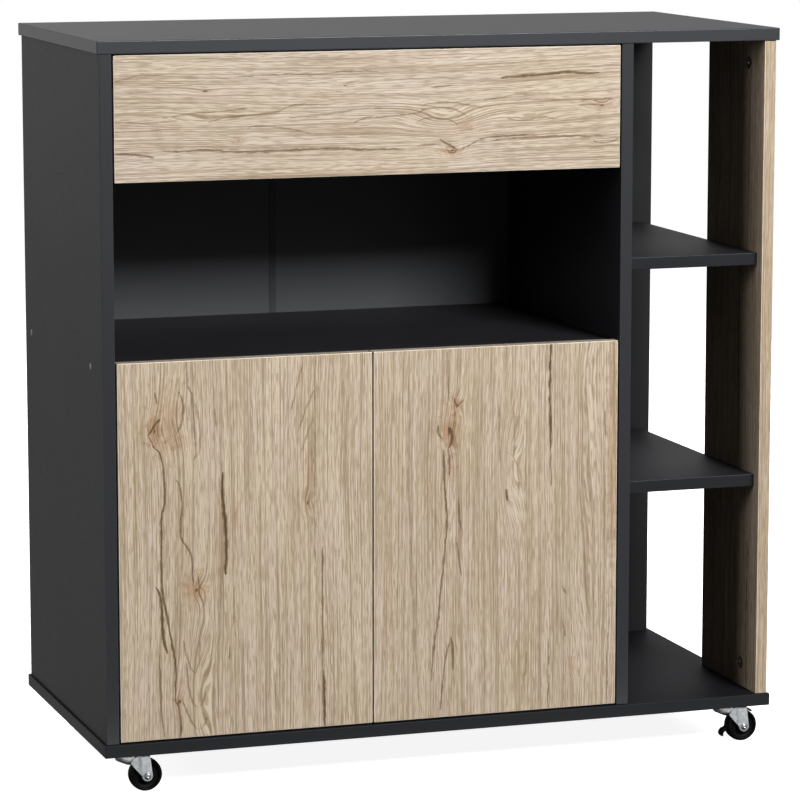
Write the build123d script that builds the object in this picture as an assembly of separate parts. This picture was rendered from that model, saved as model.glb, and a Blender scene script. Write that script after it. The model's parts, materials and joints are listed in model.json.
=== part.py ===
from build123d import *
import os
from math import cos, radians, sin

# Kitchen trolley. Millimetres, +Z up, front towards -Y.
# The origin is on the floor under the middle of the trolley.

# Whole trolley
WIDTH = 850.0
DEPTH = 400.0
BODY_HEIGHT = 840.0
CASTER_HEIGHT = 52.0

# Boards
BOARD = 15.0
OVERHANG = 3.0
EDGE_ROUND = 1.0
COLUMN_WIDTH = 171.0
OAK_SIDE_DEPTH = 171.0
COLUMN_BACK_INSET = 7.0
SHELF_SETBACK = 15.0
NICHE_FLOOR_TOP = 465.0
FINGER_GAP = 18.0
INNER_SHELF_HEIGHT = 225.0
INNER_SHELF_FRONT = 60.0
INNER_SHELF_PLAY = 1.0
INNER_SHELF_BACK = 4.0
HARDBOARD = 3.0
HARDBOARD_INSET = 1.0
STRIP_FACE = 8.0
STRIP_SKIN = 1.0
STRIP_WEB = 1.6
STRIP_OFFSET = 6.0

# Doors and drawer
FRONT_GAP = 2.0
DOOR_HEIGHT = 450.0
DRAWER_FRONT_HEIGHT = 146.5
DRAWER_SIDE = 12.0
DRAWER_BOX_DEPTH = 350.0
DRAWER_BOX_HEIGHT = 100.0
DRAWER_GRIP = 20.0
DRAWER_BOTTOM_LIFT = 8.0
DRAWER_GROOVE = 5.0

# Drawer runners
RUNNER_SPACE = 12.5
RUNNER_STEEL = 1.2
RUNNER_OUTER_HEIGHT = 35.0
RUNNER_INNER_HEIGHT = 24.0
RUNNER_CAGE_LENGTH = 90.0
RUNNER_CAGE_REST = 130.0
RUNNER_LIFT = 33.0
RUNNER_FRONT = 4.0
RUNNER_OUTER_LIP = 9.5
RUNNER_INNER_LIP = 9.0
CAGE_SKIN = 0.8
CAGE_FROM_FACE = 1.8
CAGE_DEPTH = 6.8
CAGE_BALLS = 5
BALL_FROM_FACE = 6.0
OUTER_RAIL_SCREWS = (60.0, 320.0)
INNER_RAIL_SCREWS = (100.0, 260.0)
BALL_RADIUS = 1.9

# Concealed hinges, measured from the hinge-side front edge of a door
HINGE_INSET = 80.0
PIN_FROM_EDGE = 14.0
PIN_FROM_FRONT = 6.5
PIN_RADIUS = 1.5
RUNNING_CLEARANCE = 0.05
CUP_RADIUS = 17.5
CUP_FROM_EDGE = 22.0
CUP_DEPTH = 12.6
CUP_WALL = 0.8
CUP_FLANGE = 1.5
CUP_RIM = 1.0
CUP_EAR_SPACING = 45.0
CUP_EAR_OFFSET = 9.0
CUP_EAR_HALF = 5.5
CUP_EAR_END = 6.0
LUG_GAP = 0.5
LUG_THICKNESS = 2.5
LUG_HALF = 3.0
KNUCKLE_RADIUS = 2.8
ARM_WIDTH = 12.0
ARM_STEEL = 2.0
ARM_REACH = 14.0
ARM_RISE = 9.5
ARM_LENGTH = 62.0
ARM_THICKNESS = 4.0
HINGE_PLATE = 2.0
HINGE_PLATE_SETBACK = 10.0
HINGE_PLATE_LENGTH = 45.0
HINGE_PLATE_HALF = 8.0
HINGE_WING_NEAR = 12.0
HINGE_WING_FAR = 32.0
HINGE_WING_HALF = 24.0
HINGE_SCREW_HALF = 16.0

# Fasteners
CAM_RADIUS = 7.5
CAM_DEPTH = 12.0
CAM_SETBACK = 30.0
CAM_FRONT = 51.0
CAM_REAR = 340.0
CAM_SLOT = 1.6
CAM_SLOT_DEPTH = 1.0
CAM_GRIP = 2.0
BOLT_RADIUS = 3.0
DOWEL_RADIUS = 4.0
DOWEL_IN_BOARD = 10.0
DOWEL_IN_EDGE = 20.0
PANEL_DOWELS = (85.0, 306.0)
OAK_DOWELS = (85.0, 140.0)
SHELF_DOWELS = (60.0, 140.0)
BACK_BOARD_SHARES = (0.25, 0.75)
DRAWER_DOWEL_RADIUS = 3.0
DRAWER_DOWEL_LIFTS = (24.0, 60.0, 86.0)
SCREW_RADIUS = 2.0
SCREW_HEAD_RADIUS = 4.0
SCREW_HEAD = 2.0
SMALL_HEAD_RADIUS = 3.5
LOW_HEAD = 1.0
PLATE_HEAD = 1.5
LONG_SCREW = 50.0
LONG_SCREW_PLACES = (61.5, 365.0)
RAIL_SCREW = 12.0
INNER_RAIL_SCREW = 11.0
DRAWER_SCREW = 36.0
DRAWER_SCREW_LIFTS = (22.0, 82.0)
CUP_SCREW = 12.0
HINGE_SCREW = 14.0
NAIL_RADIUS = 0.8
NAIL_HEAD_RADIUS = 2.5
NAIL_HEAD = 0.6
NAIL_LENGTH = 18.0
NAIL_FIRST = 60.0
NAIL_PITCH = 172.0
NAILS_PER_SIDE = 5
FLOOR_NAIL_SHARES = (0.15, 0.35, 0.65, 0.85)
SHELF_PIN_RADIUS = 2.5
SHELF_PIN_LENGTH = 8.0
SHELF_PIN_PITCH = 32.0
SHELF_PIN_PLACES = (100.0, 340.0)
SPARE_HOLE_STEPS = (-2, -1, 1, 2)

# Casters, with the swivel axis at the middle of the plate
CASTER_INSET = 40.0
CASTER_TRAIL = 18.0
WHEEL_RADIUS = 20.0
WHEEL_WIDTH = 16.0
HUB_WIDTH = 18.0
HUB_RADIUS = 8.0
WEB_HALF = 5.0
WEB_RADIUS = 15.0
RIM_RADIUS = 16.0
TREAD_ROUND = 2.0
AXLE_RADIUS = 2.5
AXLE_HEAD_RADIUS = 4.2
AXLE_HEAD = 2.5
AXLE_HEAD_ROUND = 1.0
FORK_STEEL = 2.0
FORK_GAP = 21.6
FORK_UNDERSIDE = 42.0
FORK_DISH_FLAT = 10.5
FORK_DISH_RIM = 18.0
FORK_RIM_EDGE = 1.4
FORK_LEG_TOP = 46.0
FORK_LEAD = 8.0
FORK_TRAIL = 3.0
FORK_EYE_RADIUS = 6.5
SWIVEL_CLEARANCE = 0.4
KING_PIN_RADIUS = 3.0
KING_HEAD_RADIUS = 4.0
KING_HEAD = 2.0
KING_HEAD_ROUND = 0.5
PLATE_SIDE = 42.0
PLATE_STEEL = 2.0
PLATE_SCREW_PITCH = 32.0
PLATE_CORNER = 4.0
PLATE_SCREW_HEAD_RADIUS = 3.2
PLATE_SCREW = 14.0
BRAKE_INNER = 20.6
BRAKE_OUTER = 22.6
BRAKE_HALF = 5.0
BRAKE_ARM = 1.2
BRAKE_TOE = 8.4
BRAKE_TIP = 3.0
BRAKE_HEEL = 3.0
BRAKE_SIDE_GAP = 0.3
BRAKE_EYE = 6.0
# Start and end of each part of the brake, in degrees about the axle
SADDLE_SPAN = (47, 188)
YOKE_SPAN = (70, 100)
TOE_SPAN = (180, 188)
TIP_SPAN = (180, 203)
HEEL_SPAN = (47, 60)
ARM_SPAN = (72, 98)

# Faces that the boards share
LEFT = -WIDTH / 2
RIGHT = WIDTH / 2
FRONT = -DEPTH / 2
BACK = DEPTH / 2
FLOOR_TOP = CASTER_HEIGHT + BOARD
ROOF = CASTER_HEIGHT + BODY_HEIGHT - BOARD
HEIGHT = CASTER_HEIGHT + BODY_HEIGHT
PANEL_FRONT = FRONT + OVERHANG
PANEL_BACK = BACK - STRIP_SKIN - HARDBOARD
LEFT_OUTER = LEFT + OVERHANG
LEFT_INNER = LEFT_OUTER + BOARD
OAK_OUTER = RIGHT - OVERHANG
OAK_INNER = OAK_OUTER - BOARD
PARTITION_RIGHT = OAK_INNER - COLUMN_WIDTH
PARTITION_LEFT = PARTITION_RIGHT - BOARD
BAY_WIDTH = PARTITION_LEFT - LEFT_INNER
BAY_MIDDLE = (LEFT_INNER + PARTITION_LEFT) / 2
DOOR_WIDTH = (BAY_WIDTH - 3 * FRONT_GAP) / 2
DOOR_BACK = PANEL_FRONT + BOARD
NICHE_FLOOR_Z = CASTER_HEIGHT + NICHE_FLOOR_TOP
NICHE_FLOOR_FRONT = DOOR_BACK + FINGER_GAP
COLUMN_BACK_FRONT = BACK - BOARD
COLUMN_OPENING = (ROOF - FLOOR_TOP - 2 * BOARD) / 3
STRIP_X = BAY_MIDDLE - STRIP_OFFSET
DRAWER_TOP = ROOF - FRONT_GAP
DRAWER_LOW = DRAWER_TOP - DRAWER_FRONT_HEIGHT
DRAWER_BOX_LOW = DRAWER_LOW + DRAWER_GRIP
DRAWER_BOX_LEFT = LEFT_INNER + RUNNER_SPACE
DRAWER_BOX_RIGHT = PARTITION_LEFT - RUNNER_SPACE
DRAWER_BOX_BACK = DOOR_BACK + DRAWER_BOX_DEPTH
RUNNER_Z = DRAWER_BOX_LOW + RUNNER_LIFT
DOOR_LOW = FLOOR_TOP + FRONT_GAP
HINGE_HEIGHTS = (DOOR_LOW + HINGE_INSET, DOOR_LOW + DOOR_HEIGHT - HINGE_INSET)
PIN_Y = PANEL_FRONT + PIN_FROM_FRONT

X_AXIS = (1, 0, 0)
Y_AXIS = (0, 1, 0)
Z_AXIS = (0, 0, 1)


def slab(x, y, z):
    """A plain block between two X, two Y and two Z faces."""
    middle = [(pair[0] + pair[1]) / 2 for pair in (x, y, z)]
    size = [pair[1] - pair[0] for pair in (x, y, z)]
    return Pos(*middle) * Box(*size)


def board(x, y, z):
    """A board with lightly rounded edges."""
    block = slab(x, y, z)
    return fillet(block.edges(), EDGE_ROUND)


def rod(base, axis, radius, length):
    """A round rod that starts at base and runs along axis."""
    bar = Cylinder(radius, length, align=(Align.CENTER, Align.CENTER, Align.MIN))
    return Plane(origin=base, z_dir=axis) * bar


def group(shapes):
    """Separate solids kept under one name."""
    return Compound([solid for shape in shapes for solid in shape.solids()])


def drilled(shape, cutters):
    """A shape with every cutter taken out of it."""
    for cutter in cutters:
        shape = shape - cutter
    return shape


def flip(axis):
    """The opposite direction."""
    return tuple(-value for value in axis)


def shifted(point, axis, distance):
    """A point moved along an axis."""
    return tuple(value + step * distance for value, step in zip(point, axis))


def screw(base, axis, length, head_radius=SCREW_HEAD_RADIUS):
    """A screw whose flat head lies in the face at base and whose shank runs along axis."""
    head = rod(base, axis, head_radius, SCREW_HEAD)
    return head + rod(base, axis, SCREW_RADIUS, length)


# Joints between the boards

def upright_places():
    """Middle X and Y positions of the cams and dowels at the ends of each upright."""
    return (
        ((LEFT_OUTER + LEFT_INNER) / 2, X_AXIS, (CAM_FRONT, CAM_REAR), PANEL_DOWELS),
        ((PARTITION_LEFT + PARTITION_RIGHT) / 2, flip(X_AXIS), (CAM_FRONT, CAM_REAR), PANEL_DOWELS),
        ((OAK_INNER + OAK_OUTER) / 2, flip(X_AXIS), (CAM_FRONT,), OAK_DOWELS),
    )


def cam_and_bolt(x, y, inner_side, end_z, up):
    """A cam disc in the inner face of an upright and the bolt that it draws into the board."""
    inner_face = x + inner_side[0] * BOARD / 2
    cam_z = end_z - up * CAM_SETBACK
    disc = rod((inner_face, y, cam_z), flip(inner_side), CAM_RADIUS, CAM_DEPTH)
    bolt_base = (x, y, cam_z + up * (CAM_RADIUS - CAM_GRIP))
    bolt = rod(bolt_base, (0, 0, up), BOLT_RADIUS, CAM_SETBACK - CAM_RADIUS + CAM_GRIP + DOWEL_IN_BOARD)
    slot = (-CAM_SLOT / 2, CAM_SLOT / 2)
    groove = slab((-CAM_RADIUS, CAM_RADIUS), slot, (-CAM_SLOT_DEPTH, CAM_SLOT_DEPTH))
    groove = Pos(inner_face, y, cam_z) * Rot(0, 90, 0) * groove
    return disc - groove - bolt, bolt


def board_joints():
    """Cams, bolts and dowels at both ends of the three uprights."""
    cams = []
    bolts = []
    dowels = []
    for x, inner_side, cam_places, dowel_places in upright_places():
        for end_z, up in ((ROOF, 1), (FLOOR_TOP, -1)):
            for y in cam_places:
                disc, bolt = cam_and_bolt(x, FRONT + y, inner_side, end_z, up)
                cams.append(disc)
                bolts.append(bolt)
            for y in dowel_places:
                base = (x, FRONT + y, end_z - up * DOWEL_IN_EDGE)
                dowels.append(rod(base, (0, 0, up), DOWEL_RADIUS, DOWEL_IN_EDGE + DOWEL_IN_BOARD))
    return cams, bolts, dowels


def column_shelf_levels():
    """Underside heights of the two column shelves."""
    return [FLOOR_TOP + step * COLUMN_OPENING + (step - 1) * BOARD for step in (1, 2)]


def shelf_dowels():
    """Dowels that hold the column shelves, the niche floor and the column back board."""
    dowels = []
    length = DOWEL_IN_EDGE + DOWEL_IN_BOARD
    for level in column_shelf_levels():
        z = level + BOARD / 2
        for y in SHELF_DOWELS:
            dowels.append(rod((PARTITION_RIGHT - DOWEL_IN_BOARD, FRONT + y, z), X_AXIS, DOWEL_RADIUS, length))
            dowels.append(rod((OAK_INNER - DOWEL_IN_EDGE, FRONT + y, z), X_AXIS, DOWEL_RADIUS, length))
        back_base = (PARTITION_RIGHT + COLUMN_WIDTH / 2, COLUMN_BACK_FRONT - DOWEL_IN_EDGE, z)
        dowels.append(rod(back_base, Y_AXIS, DOWEL_RADIUS, length))
    floor_z = NICHE_FLOOR_Z - BOARD / 2
    for y in PANEL_DOWELS:
        dowels.append(rod((PARTITION_LEFT - DOWEL_IN_EDGE, FRONT + y, floor_z), X_AXIS, DOWEL_RADIUS, length))
    for end_z, up in ((ROOF, 1), (FLOOR_TOP, -1)):
        for share in BACK_BOARD_SHARES:
            x = PARTITION_RIGHT + share * COLUMN_WIDTH
            base = (x, COLUMN_BACK_FRONT + BOARD / 2, end_z - up * DOWEL_IN_EDGE)
            dowels.append(rod(base, (0, 0, up), DOWEL_RADIUS, length))
    return dowels


def niche_floor_screws():
    """Two long screws through the left side panel into the end of the niche floor."""
    z = NICHE_FLOOR_Z - BOARD / 2
    return [screw((LEFT_OUTER, FRONT + y, z), X_AXIS, LONG_SCREW) for y in LONG_SCREW_PLACES]


def back_nails():
    """Nails along the edges of the hardboard back."""
    places = []
    for x in (LEFT_OUTER + BOARD / 2, PARTITION_LEFT + BOARD / 2):
        places += [(x, FLOOR_TOP + NAIL_FIRST + step * NAIL_PITCH) for step in range(NAILS_PER_SIDE)]
    for share in FLOOR_NAIL_SHARES:
        places.append((LEFT_INNER + share * BAY_WIDTH, NICHE_FLOOR_Z - BOARD / 2))
    nails = []
    for x, z in places:
        face = (x, PANEL_BACK + HARDBOARD, z)
        head = rod(face, Y_AXIS, NAIL_HEAD_RADIUS, NAIL_HEAD)
        nails.append(head + rod(face, flip(Y_AXIS), NAIL_RADIUS, NAIL_LENGTH))
    return nails


def shelf_pin_places():
    """The face, direction, Y and Z of every shelf pin hole row."""
    rows = []
    level = FLOOR_TOP + INNER_SHELF_HEIGHT - BOARD
    for face, into in ((LEFT_INNER, flip(X_AXIS)), (PARTITION_LEFT, X_AXIS)):
        for y in SHELF_PIN_PLACES:
            rows.append((face, into, FRONT + y, level - SHELF_PIN_RADIUS))
    return rows


def shelf_pins():
    """Four pins, half in an upright and half under the inner shelf."""
    pins = []
    for face, into, y, z in shelf_pin_places():
        base = shifted((face, y, z), into, -SHELF_PIN_LENGTH)
        pins.append(rod(base, into, SHELF_PIN_RADIUS, 2 * SHELF_PIN_LENGTH))
    return pins


def spare_pin_holes():
    """Empty pin holes above and below each shelf pin."""
    holes = []
    for face, into, y, z in shelf_pin_places():
        for step in SPARE_HOLE_STEPS:
            base = (face, y, z + step * SHELF_PIN_PITCH)
            holes.append(rod(base, into, SHELF_PIN_RADIUS, SHELF_PIN_LENGTH))
    return holes


# Boards of the body

def uprights(fixings):
    """Left side panel, partition, oak side panel and column back board."""
    height = (FLOOR_TOP, ROOF)
    depth = (PANEL_FRONT, PANEL_BACK)
    oak_depth = (PANEL_FRONT, PANEL_FRONT + OAK_SIDE_DEPTH)
    back_width = (PARTITION_RIGHT, RIGHT - COLUMN_BACK_INSET)
    shapes = {
        "left_side_panel": board((LEFT_OUTER, LEFT_INNER), depth, height),
        "partition_panel": board((PARTITION_LEFT, PARTITION_RIGHT), depth, height),
        "oak_side_panel": board((OAK_INNER, OAK_OUTER), oak_depth, height),
        "column_back_board": board(back_width, (COLUMN_BACK_FRONT, BACK), height),
    }
    return {name: drilled(shape, near(shape, fixings)) for name, shape in shapes.items()}


def near(shape, fixings):
    """The fixings whose boxes reach into the box of a shape."""
    box = shape.bounding_box()
    found = []
    for fixing in fixings:
        other = fixing.bounding_box()
        apart = [
            other.min.X > box.max.X or other.max.X < box.min.X,
            other.min.Y > box.max.Y or other.max.Y < box.min.Y,
            other.min.Z > box.max.Z or other.max.Z < box.min.Z,
        ]
        if not any(apart):
            found.append(fixing)
    return found


def level_boards(fixings):
    """Top, bottom, niche floor and the shelves."""
    full_width = (LEFT, RIGHT)
    full_depth = (FRONT, BACK)
    bay = (LEFT_INNER, PARTITION_LEFT)
    column = (PARTITION_RIGHT, OAK_INNER)
    shelf_depth = (PANEL_FRONT + SHELF_SETBACK, COLUMN_BACK_FRONT)
    lower, upper = column_shelf_levels()
    inner_top = FLOOR_TOP + INNER_SHELF_HEIGHT
    inner_width = (LEFT_INNER + INNER_SHELF_PLAY, PARTITION_LEFT - INNER_SHELF_PLAY)
    inner_depth = (FRONT + INNER_SHELF_FRONT, PANEL_BACK - INNER_SHELF_BACK)
    floor_height = (NICHE_FLOOR_Z - BOARD, NICHE_FLOOR_Z)
    shapes = {
        "top_board": board(full_width, full_depth, (ROOF, HEIGHT)),
        "bottom_board": board(full_width, full_depth, (CASTER_HEIGHT, FLOOR_TOP)),
        "niche_floor": board(bay, (NICHE_FLOOR_FRONT, PANEL_BACK), floor_height),
        "inner_shelf": board(inner_width, inner_depth, (inner_top - BOARD, inner_top)),
        "lower_column_shelf": board(column, shelf_depth, (lower, lower + BOARD)),
        "upper_column_shelf": board(column, shelf_depth, (upper, upper + BOARD)),
    }
    return {name: drilled(shape, near(shape, fixings)) for name, shape in shapes.items()}


def back_of_bay(nails):
    """Two hardboard halves and the strip that joins them."""
    depth = (PANEL_BACK, PANEL_BACK + HARDBOARD)
    height = (FLOOR_TOP, ROOF)
    web = (STRIP_X - STRIP_WEB / 2, STRIP_X + STRIP_WEB / 2)
    face = (STRIP_X - STRIP_FACE / 2, STRIP_X + STRIP_FACE / 2)
    front_skin = (PANEL_BACK - STRIP_SKIN, PANEL_BACK)
    rear_skin = (PANEL_BACK + HARDBOARD, BACK)
    left_half = slab((LEFT_OUTER + HARDBOARD_INSET, web[0]), depth, height)
    right_half = slab((web[1], PARTITION_RIGHT - HARDBOARD_INSET), depth, height)
    strip = slab(web, depth, height) + slab(face, rear_skin, height)
    gap_below = NICHE_FLOOR_Z - BOARD
    strip += slab(face, front_skin, (NICHE_FLOOR_Z, ROOF))
    strip += slab(face, front_skin, (FLOOR_TOP, gap_below))
    return {
        "back_panel_left": drilled(left_half, near(left_half, nails)),
        "back_panel_right": drilled(right_half, near(right_half, nails)),
        "back_joining_strip": strip,
    }


# Drawer and its runners

def runner_sides():
    """For each side of the drawer, the cabinet face and the direction towards the drawer."""
    return ((LEFT_INNER, 1), (PARTITION_LEFT, -1))


def between(face, side, near_edge, far_edge):
    """An X pair measured from a cabinet face towards the drawer."""
    ends = (face + side * near_edge, face + side * far_edge)
    return (min(ends), max(ends))


def outer_rail(face, side):
    """Channel fixed to the cabinet, open towards the drawer."""
    half = RUNNER_OUTER_HEIGHT / 2
    run = (DOOR_BACK + RUNNER_FRONT, DRAWER_BOX_BACK)
    web = slab(between(face, side, 0, RUNNER_STEEL), run, (RUNNER_Z - half, RUNNER_Z + half))
    lips = []
    for up in (-1, 1):
        heights = sorted((RUNNER_Z + up * half, RUNNER_Z + up * (half - RUNNER_STEEL)))
        lips.append(slab(between(face, side, 0, RUNNER_OUTER_LIP), run, heights))
    return web + lips


def inner_rail(face, side):
    """Channel fixed to the drawer side, open towards the cabinet."""
    half = RUNNER_INNER_HEIGHT / 2
    run = (DOOR_BACK + RUNNER_FRONT, DRAWER_BOX_BACK)
    web_x = between(face, side, RUNNER_SPACE - RUNNER_STEEL, RUNNER_SPACE)
    web = slab(web_x, run, (RUNNER_Z - half, RUNNER_Z + half))
    lip_x = between(face, side, RUNNER_SPACE - RUNNER_INNER_LIP, RUNNER_SPACE)
    lips = []
    for up in (-1, 1):
        heights = sorted((RUNNER_Z + up * half, RUNNER_Z + up * (half - RUNNER_STEEL)))
        lips.append(slab(lip_x, run, heights))
    return web + lips


def ball_cage(face, side):
    """Thin channel between the two rails, with its balls."""
    track = (RUNNER_OUTER_HEIGHT / 2 - RUNNER_STEEL + RUNNER_INNER_HEIGHT / 2) / 2
    half = CAGE_SKIN / 2
    start = DOOR_BACK + RUNNER_CAGE_REST
    run = (start, start + RUNNER_CAGE_LENGTH)
    web_x = between(face, side, CAGE_FROM_FACE, CAGE_FROM_FACE + CAGE_SKIN)
    lip_x = between(face, side, CAGE_FROM_FACE, CAGE_FROM_FACE + CAGE_DEPTH)
    cage = slab(web_x, run, (RUNNER_Z - track - half, RUNNER_Z + track + half))
    pitch = RUNNER_CAGE_LENGTH / CAGE_BALLS
    for up in (-1, 1):
        middle = RUNNER_Z + up * track
        cage += slab(lip_x, run, (middle - half, middle + half))
        for place in range(CAGE_BALLS):
            ball_y = start + (place + 0.5) * pitch
            cage += Pos(face + side * BALL_FROM_FACE, ball_y, middle) * Sphere(BALL_RADIUS)
    return cage


def rail_screws():
    """Screws of the outer rails, heads sunk level with the rail web so that the cage runs over them."""
    screws = []
    for face, side in runner_sides():
        for y in OUTER_RAIL_SCREWS:
            base = (face + side * RUNNER_STEEL, DOOR_BACK + y, RUNNER_Z)
            screws.append(screw(base, (-side, 0, 0), RAIL_SCREW, SMALL_HEAD_RADIUS))
    return screws


def drawer_rail_screws():
    """Screws of the inner rails, heads lying on the rail web."""
    screws = []
    for face, side in runner_sides():
        for y in INNER_RAIL_SCREWS:
            base = (face + side * (RUNNER_SPACE - RUNNER_STEEL - LOW_HEAD), DOOR_BACK + y, RUNNER_Z)
            head = rod(base, (side, 0, 0), SMALL_HEAD_RADIUS, LOW_HEAD)
            screws.append(head + rod(base, (side, 0, 0), SCREW_RADIUS, INNER_RAIL_SCREW))
    return screws


def drawer_back_screws():
    """Screws through the drawer sides into the ends of the drawer back."""
    screws = []
    for x, axis in ((DRAWER_BOX_LEFT, X_AXIS), (DRAWER_BOX_RIGHT, flip(X_AXIS))):
        for lift in DRAWER_SCREW_LIFTS:
            base = (x, DRAWER_BOX_BACK - DRAWER_SIDE / 2, DRAWER_BOX_LOW + lift)
            screws.append(screw(base, axis, DRAWER_SCREW))
    return screws


def drawer_dowels():
    """Dowels between the drawer front and the drawer sides."""
    dowels = []
    for x in (DRAWER_BOX_LEFT + DRAWER_SIDE / 2, DRAWER_BOX_RIGHT - DRAWER_SIDE / 2):
        for lift in DRAWER_DOWEL_LIFTS:
            base = (x, DOOR_BACK - DOWEL_IN_BOARD, DRAWER_BOX_LOW + lift)
            dowels.append(rod(base, Y_AXIS, DRAWER_DOWEL_RADIUS, DOWEL_IN_BOARD + DOWEL_IN_EDGE))
    return dowels


def drawer_pieces():
    """The drawer front, box and fixings."""
    low = DRAWER_BOX_LOW
    height = (low, low + DRAWER_BOX_HEIGHT)
    run = (DOOR_BACK, DRAWER_BOX_BACK)
    front_width = (LEFT_INNER + FRONT_GAP, PARTITION_LEFT - FRONT_GAP)
    front = board(front_width, (PANEL_FRONT, DOOR_BACK), (DRAWER_LOW, DRAWER_TOP))
    left_side = board((DRAWER_BOX_LEFT, DRAWER_BOX_LEFT + DRAWER_SIDE), run, height)
    right_side = board((DRAWER_BOX_RIGHT - DRAWER_SIDE, DRAWER_BOX_RIGHT), run, height)
    inside = (DRAWER_BOX_LEFT + DRAWER_SIDE, DRAWER_BOX_RIGHT - DRAWER_SIDE)
    back = board(inside, (DRAWER_BOX_BACK - DRAWER_SIDE, DRAWER_BOX_BACK), height)
    sheet_x = (inside[0] - DRAWER_GROOVE, inside[1] + DRAWER_GROOVE)
    sheet_y = (DOOR_BACK - DRAWER_GROOVE, DRAWER_BOX_BACK - DRAWER_SIDE + DRAWER_GROOVE)
    sheet_z = (low + DRAWER_BOTTOM_LIFT, low + DRAWER_BOTTOM_LIFT + HARDBOARD)
    sheet = slab(sheet_x, sheet_y, sheet_z)
    dowels = drawer_dowels()
    screws = drawer_rail_screws() + drawer_back_screws()
    fixings = dowels + screws + [sheet]
    rails = group([inner_rail(face, side) for face, side in runner_sides()])
    return {
        "drawer_front": drilled(front, near(front, fixings)),
        "drawer_left_side": drilled(left_side, near(left_side, fixings)),
        "drawer_right_side": drilled(right_side, near(right_side, fixings)),
        "drawer_back": drilled(back, near(back, fixings)),
        "drawer_bottom": sheet,
        "runner_inner_rails": group([drilled(rail, near(rail, screws)) for rail in rails.solids()]),
        "drawer_dowels": group(dowels),
        "drawer_screws": group(screws),
    }


# Doors and their hinges

def door_sides():
    """Name, hinge-side edge X, direction into the door and cabinet face of each door."""
    return (
        ("left", LEFT_INNER + FRONT_GAP, 1, LEFT_INNER),
        ("right", PARTITION_LEFT - FRONT_GAP, -1, PARTITION_LEFT),
    )


def hinge_cup(edge, side, z):
    """Steel cup let into the back of a door, with two ears and two lugs for the pin."""
    x = edge + side * CUP_FROM_EDGE
    rim = DOOR_BACK
    cup = rod((x, rim, z), flip(Y_AXIS), CUP_RADIUS, CUP_DEPTH)
    flange = rod((x, rim, z), Y_AXIS, CUP_RADIUS + CUP_FLANGE, CUP_RIM)
    ear_x = x + side * CUP_EAR_OFFSET
    ear_width = (ear_x - CUP_EAR_HALF, ear_x + CUP_EAR_HALF)
    ear_end = CUP_EAR_SPACING / 2 + CUP_EAR_END
    ears = slab(ear_width, (rim, rim + CUP_RIM), (z - ear_end, z + ear_end))
    shell = cup + flange + ears
    hollow_depth = CUP_DEPTH - CUP_WALL + CUP_RIM
    hollow = rod((x, rim + CUP_RIM, z), flip(Y_AXIS), CUP_RADIUS - CUP_WALL, hollow_depth)
    shell = shell - hollow
    pin_x = edge + side * PIN_FROM_EDGE
    floor_y = rim - CUP_DEPTH + CUP_WALL
    for up in (-1, 1):
        near_z = ARM_WIDTH / 2 + LUG_GAP
        heights = sorted((z + up * near_z, z + up * (near_z + LUG_THICKNESS)))
        shell += slab((pin_x - LUG_HALF, pin_x + LUG_HALF), (floor_y, PIN_Y + LUG_HALF), heights)
    return shell - hinge_pin(edge, side, z)


def hinge_pin(edge, side, z):
    """Steel pin across the lugs of a hinge cup."""
    length = ARM_WIDTH + 2 * (LUG_GAP + LUG_THICKNESS)
    return rod((edge + side * PIN_FROM_EDGE, PIN_Y, z - length / 2), Z_AXIS, PIN_RADIUS, length)


def cup_screws(edge, side, z):
    """Two screws through the ears of a hinge cup."""
    screws = []
    x = edge + side * (CUP_FROM_EDGE + CUP_EAR_OFFSET)
    for up in (-1, 1):
        base = (x, DOOR_BACK + CUP_RIM + LOW_HEAD, z + up * CUP_EAR_SPACING / 2)
        head = rod(base, flip(Y_AXIS), SMALL_HEAD_RADIUS, LOW_HEAD)
        screws.append(head + rod(base, flip(Y_AXIS), SCREW_RADIUS, CUP_SCREW))
    return screws


def hinge_arm(edge, side, face, z):
    """Bent arm from the base plate, over the door edge and down into the cup to the pin."""
    half = ARM_WIDTH / 2
    across = (z - half, z + half)
    pin_x = edge + side * PIN_FROM_EDGE
    bend_x = pin_x + side * ARM_REACH
    over_y = DOOR_BACK + ARM_RISE
    skin = ARM_STEEL / 2

    def strip(x_ends, y_ends):
        """One straight run of the arm, given its centre line."""
        x = (min(x_ends) - skin, max(x_ends) + skin)
        y = (min(y_ends) - skin, max(y_ends) + skin)
        return slab(x, y, across)

    plate_face = face + side * HINGE_PLATE
    arm = rod((pin_x, PIN_Y, z - half), Z_AXIS, KNUCKLE_RADIUS, ARM_WIDTH)
    arm += strip((pin_x, bend_x), (PIN_Y, PIN_Y))
    arm += strip((bend_x, bend_x), (PIN_Y, over_y))
    arm += strip((plate_face + side * skin, bend_x), (over_y, over_y))
    rear = over_y - skin + ARM_LENGTH
    arm += slab(between(plate_face, side, 0, ARM_THICKNESS), (over_y - skin, rear), across)
    bore = rod((pin_x, PIN_Y, z - half), Z_AXIS, PIN_RADIUS + RUNNING_CLEARANCE, ARM_WIDTH)
    return arm - bore


def hinge_plate(face, side, z):
    """Cross-shaped plate on the cabinet face under a hinge arm."""
    near_y = DOOR_BACK + ARM_RISE + HINGE_PLATE_SETBACK
    far_y = near_y + HINGE_PLATE_LENGTH
    thickness = between(face, side, 0, HINGE_PLATE)
    long_arm = slab(thickness, (near_y, far_y), (z - HINGE_PLATE_HALF, z + HINGE_PLATE_HALF))
    wing_run = (near_y + HINGE_WING_NEAR, near_y + HINGE_WING_FAR)
    wings = slab(thickness, wing_run, (z - HINGE_WING_HALF, z + HINGE_WING_HALF))
    return long_arm + wings


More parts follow.
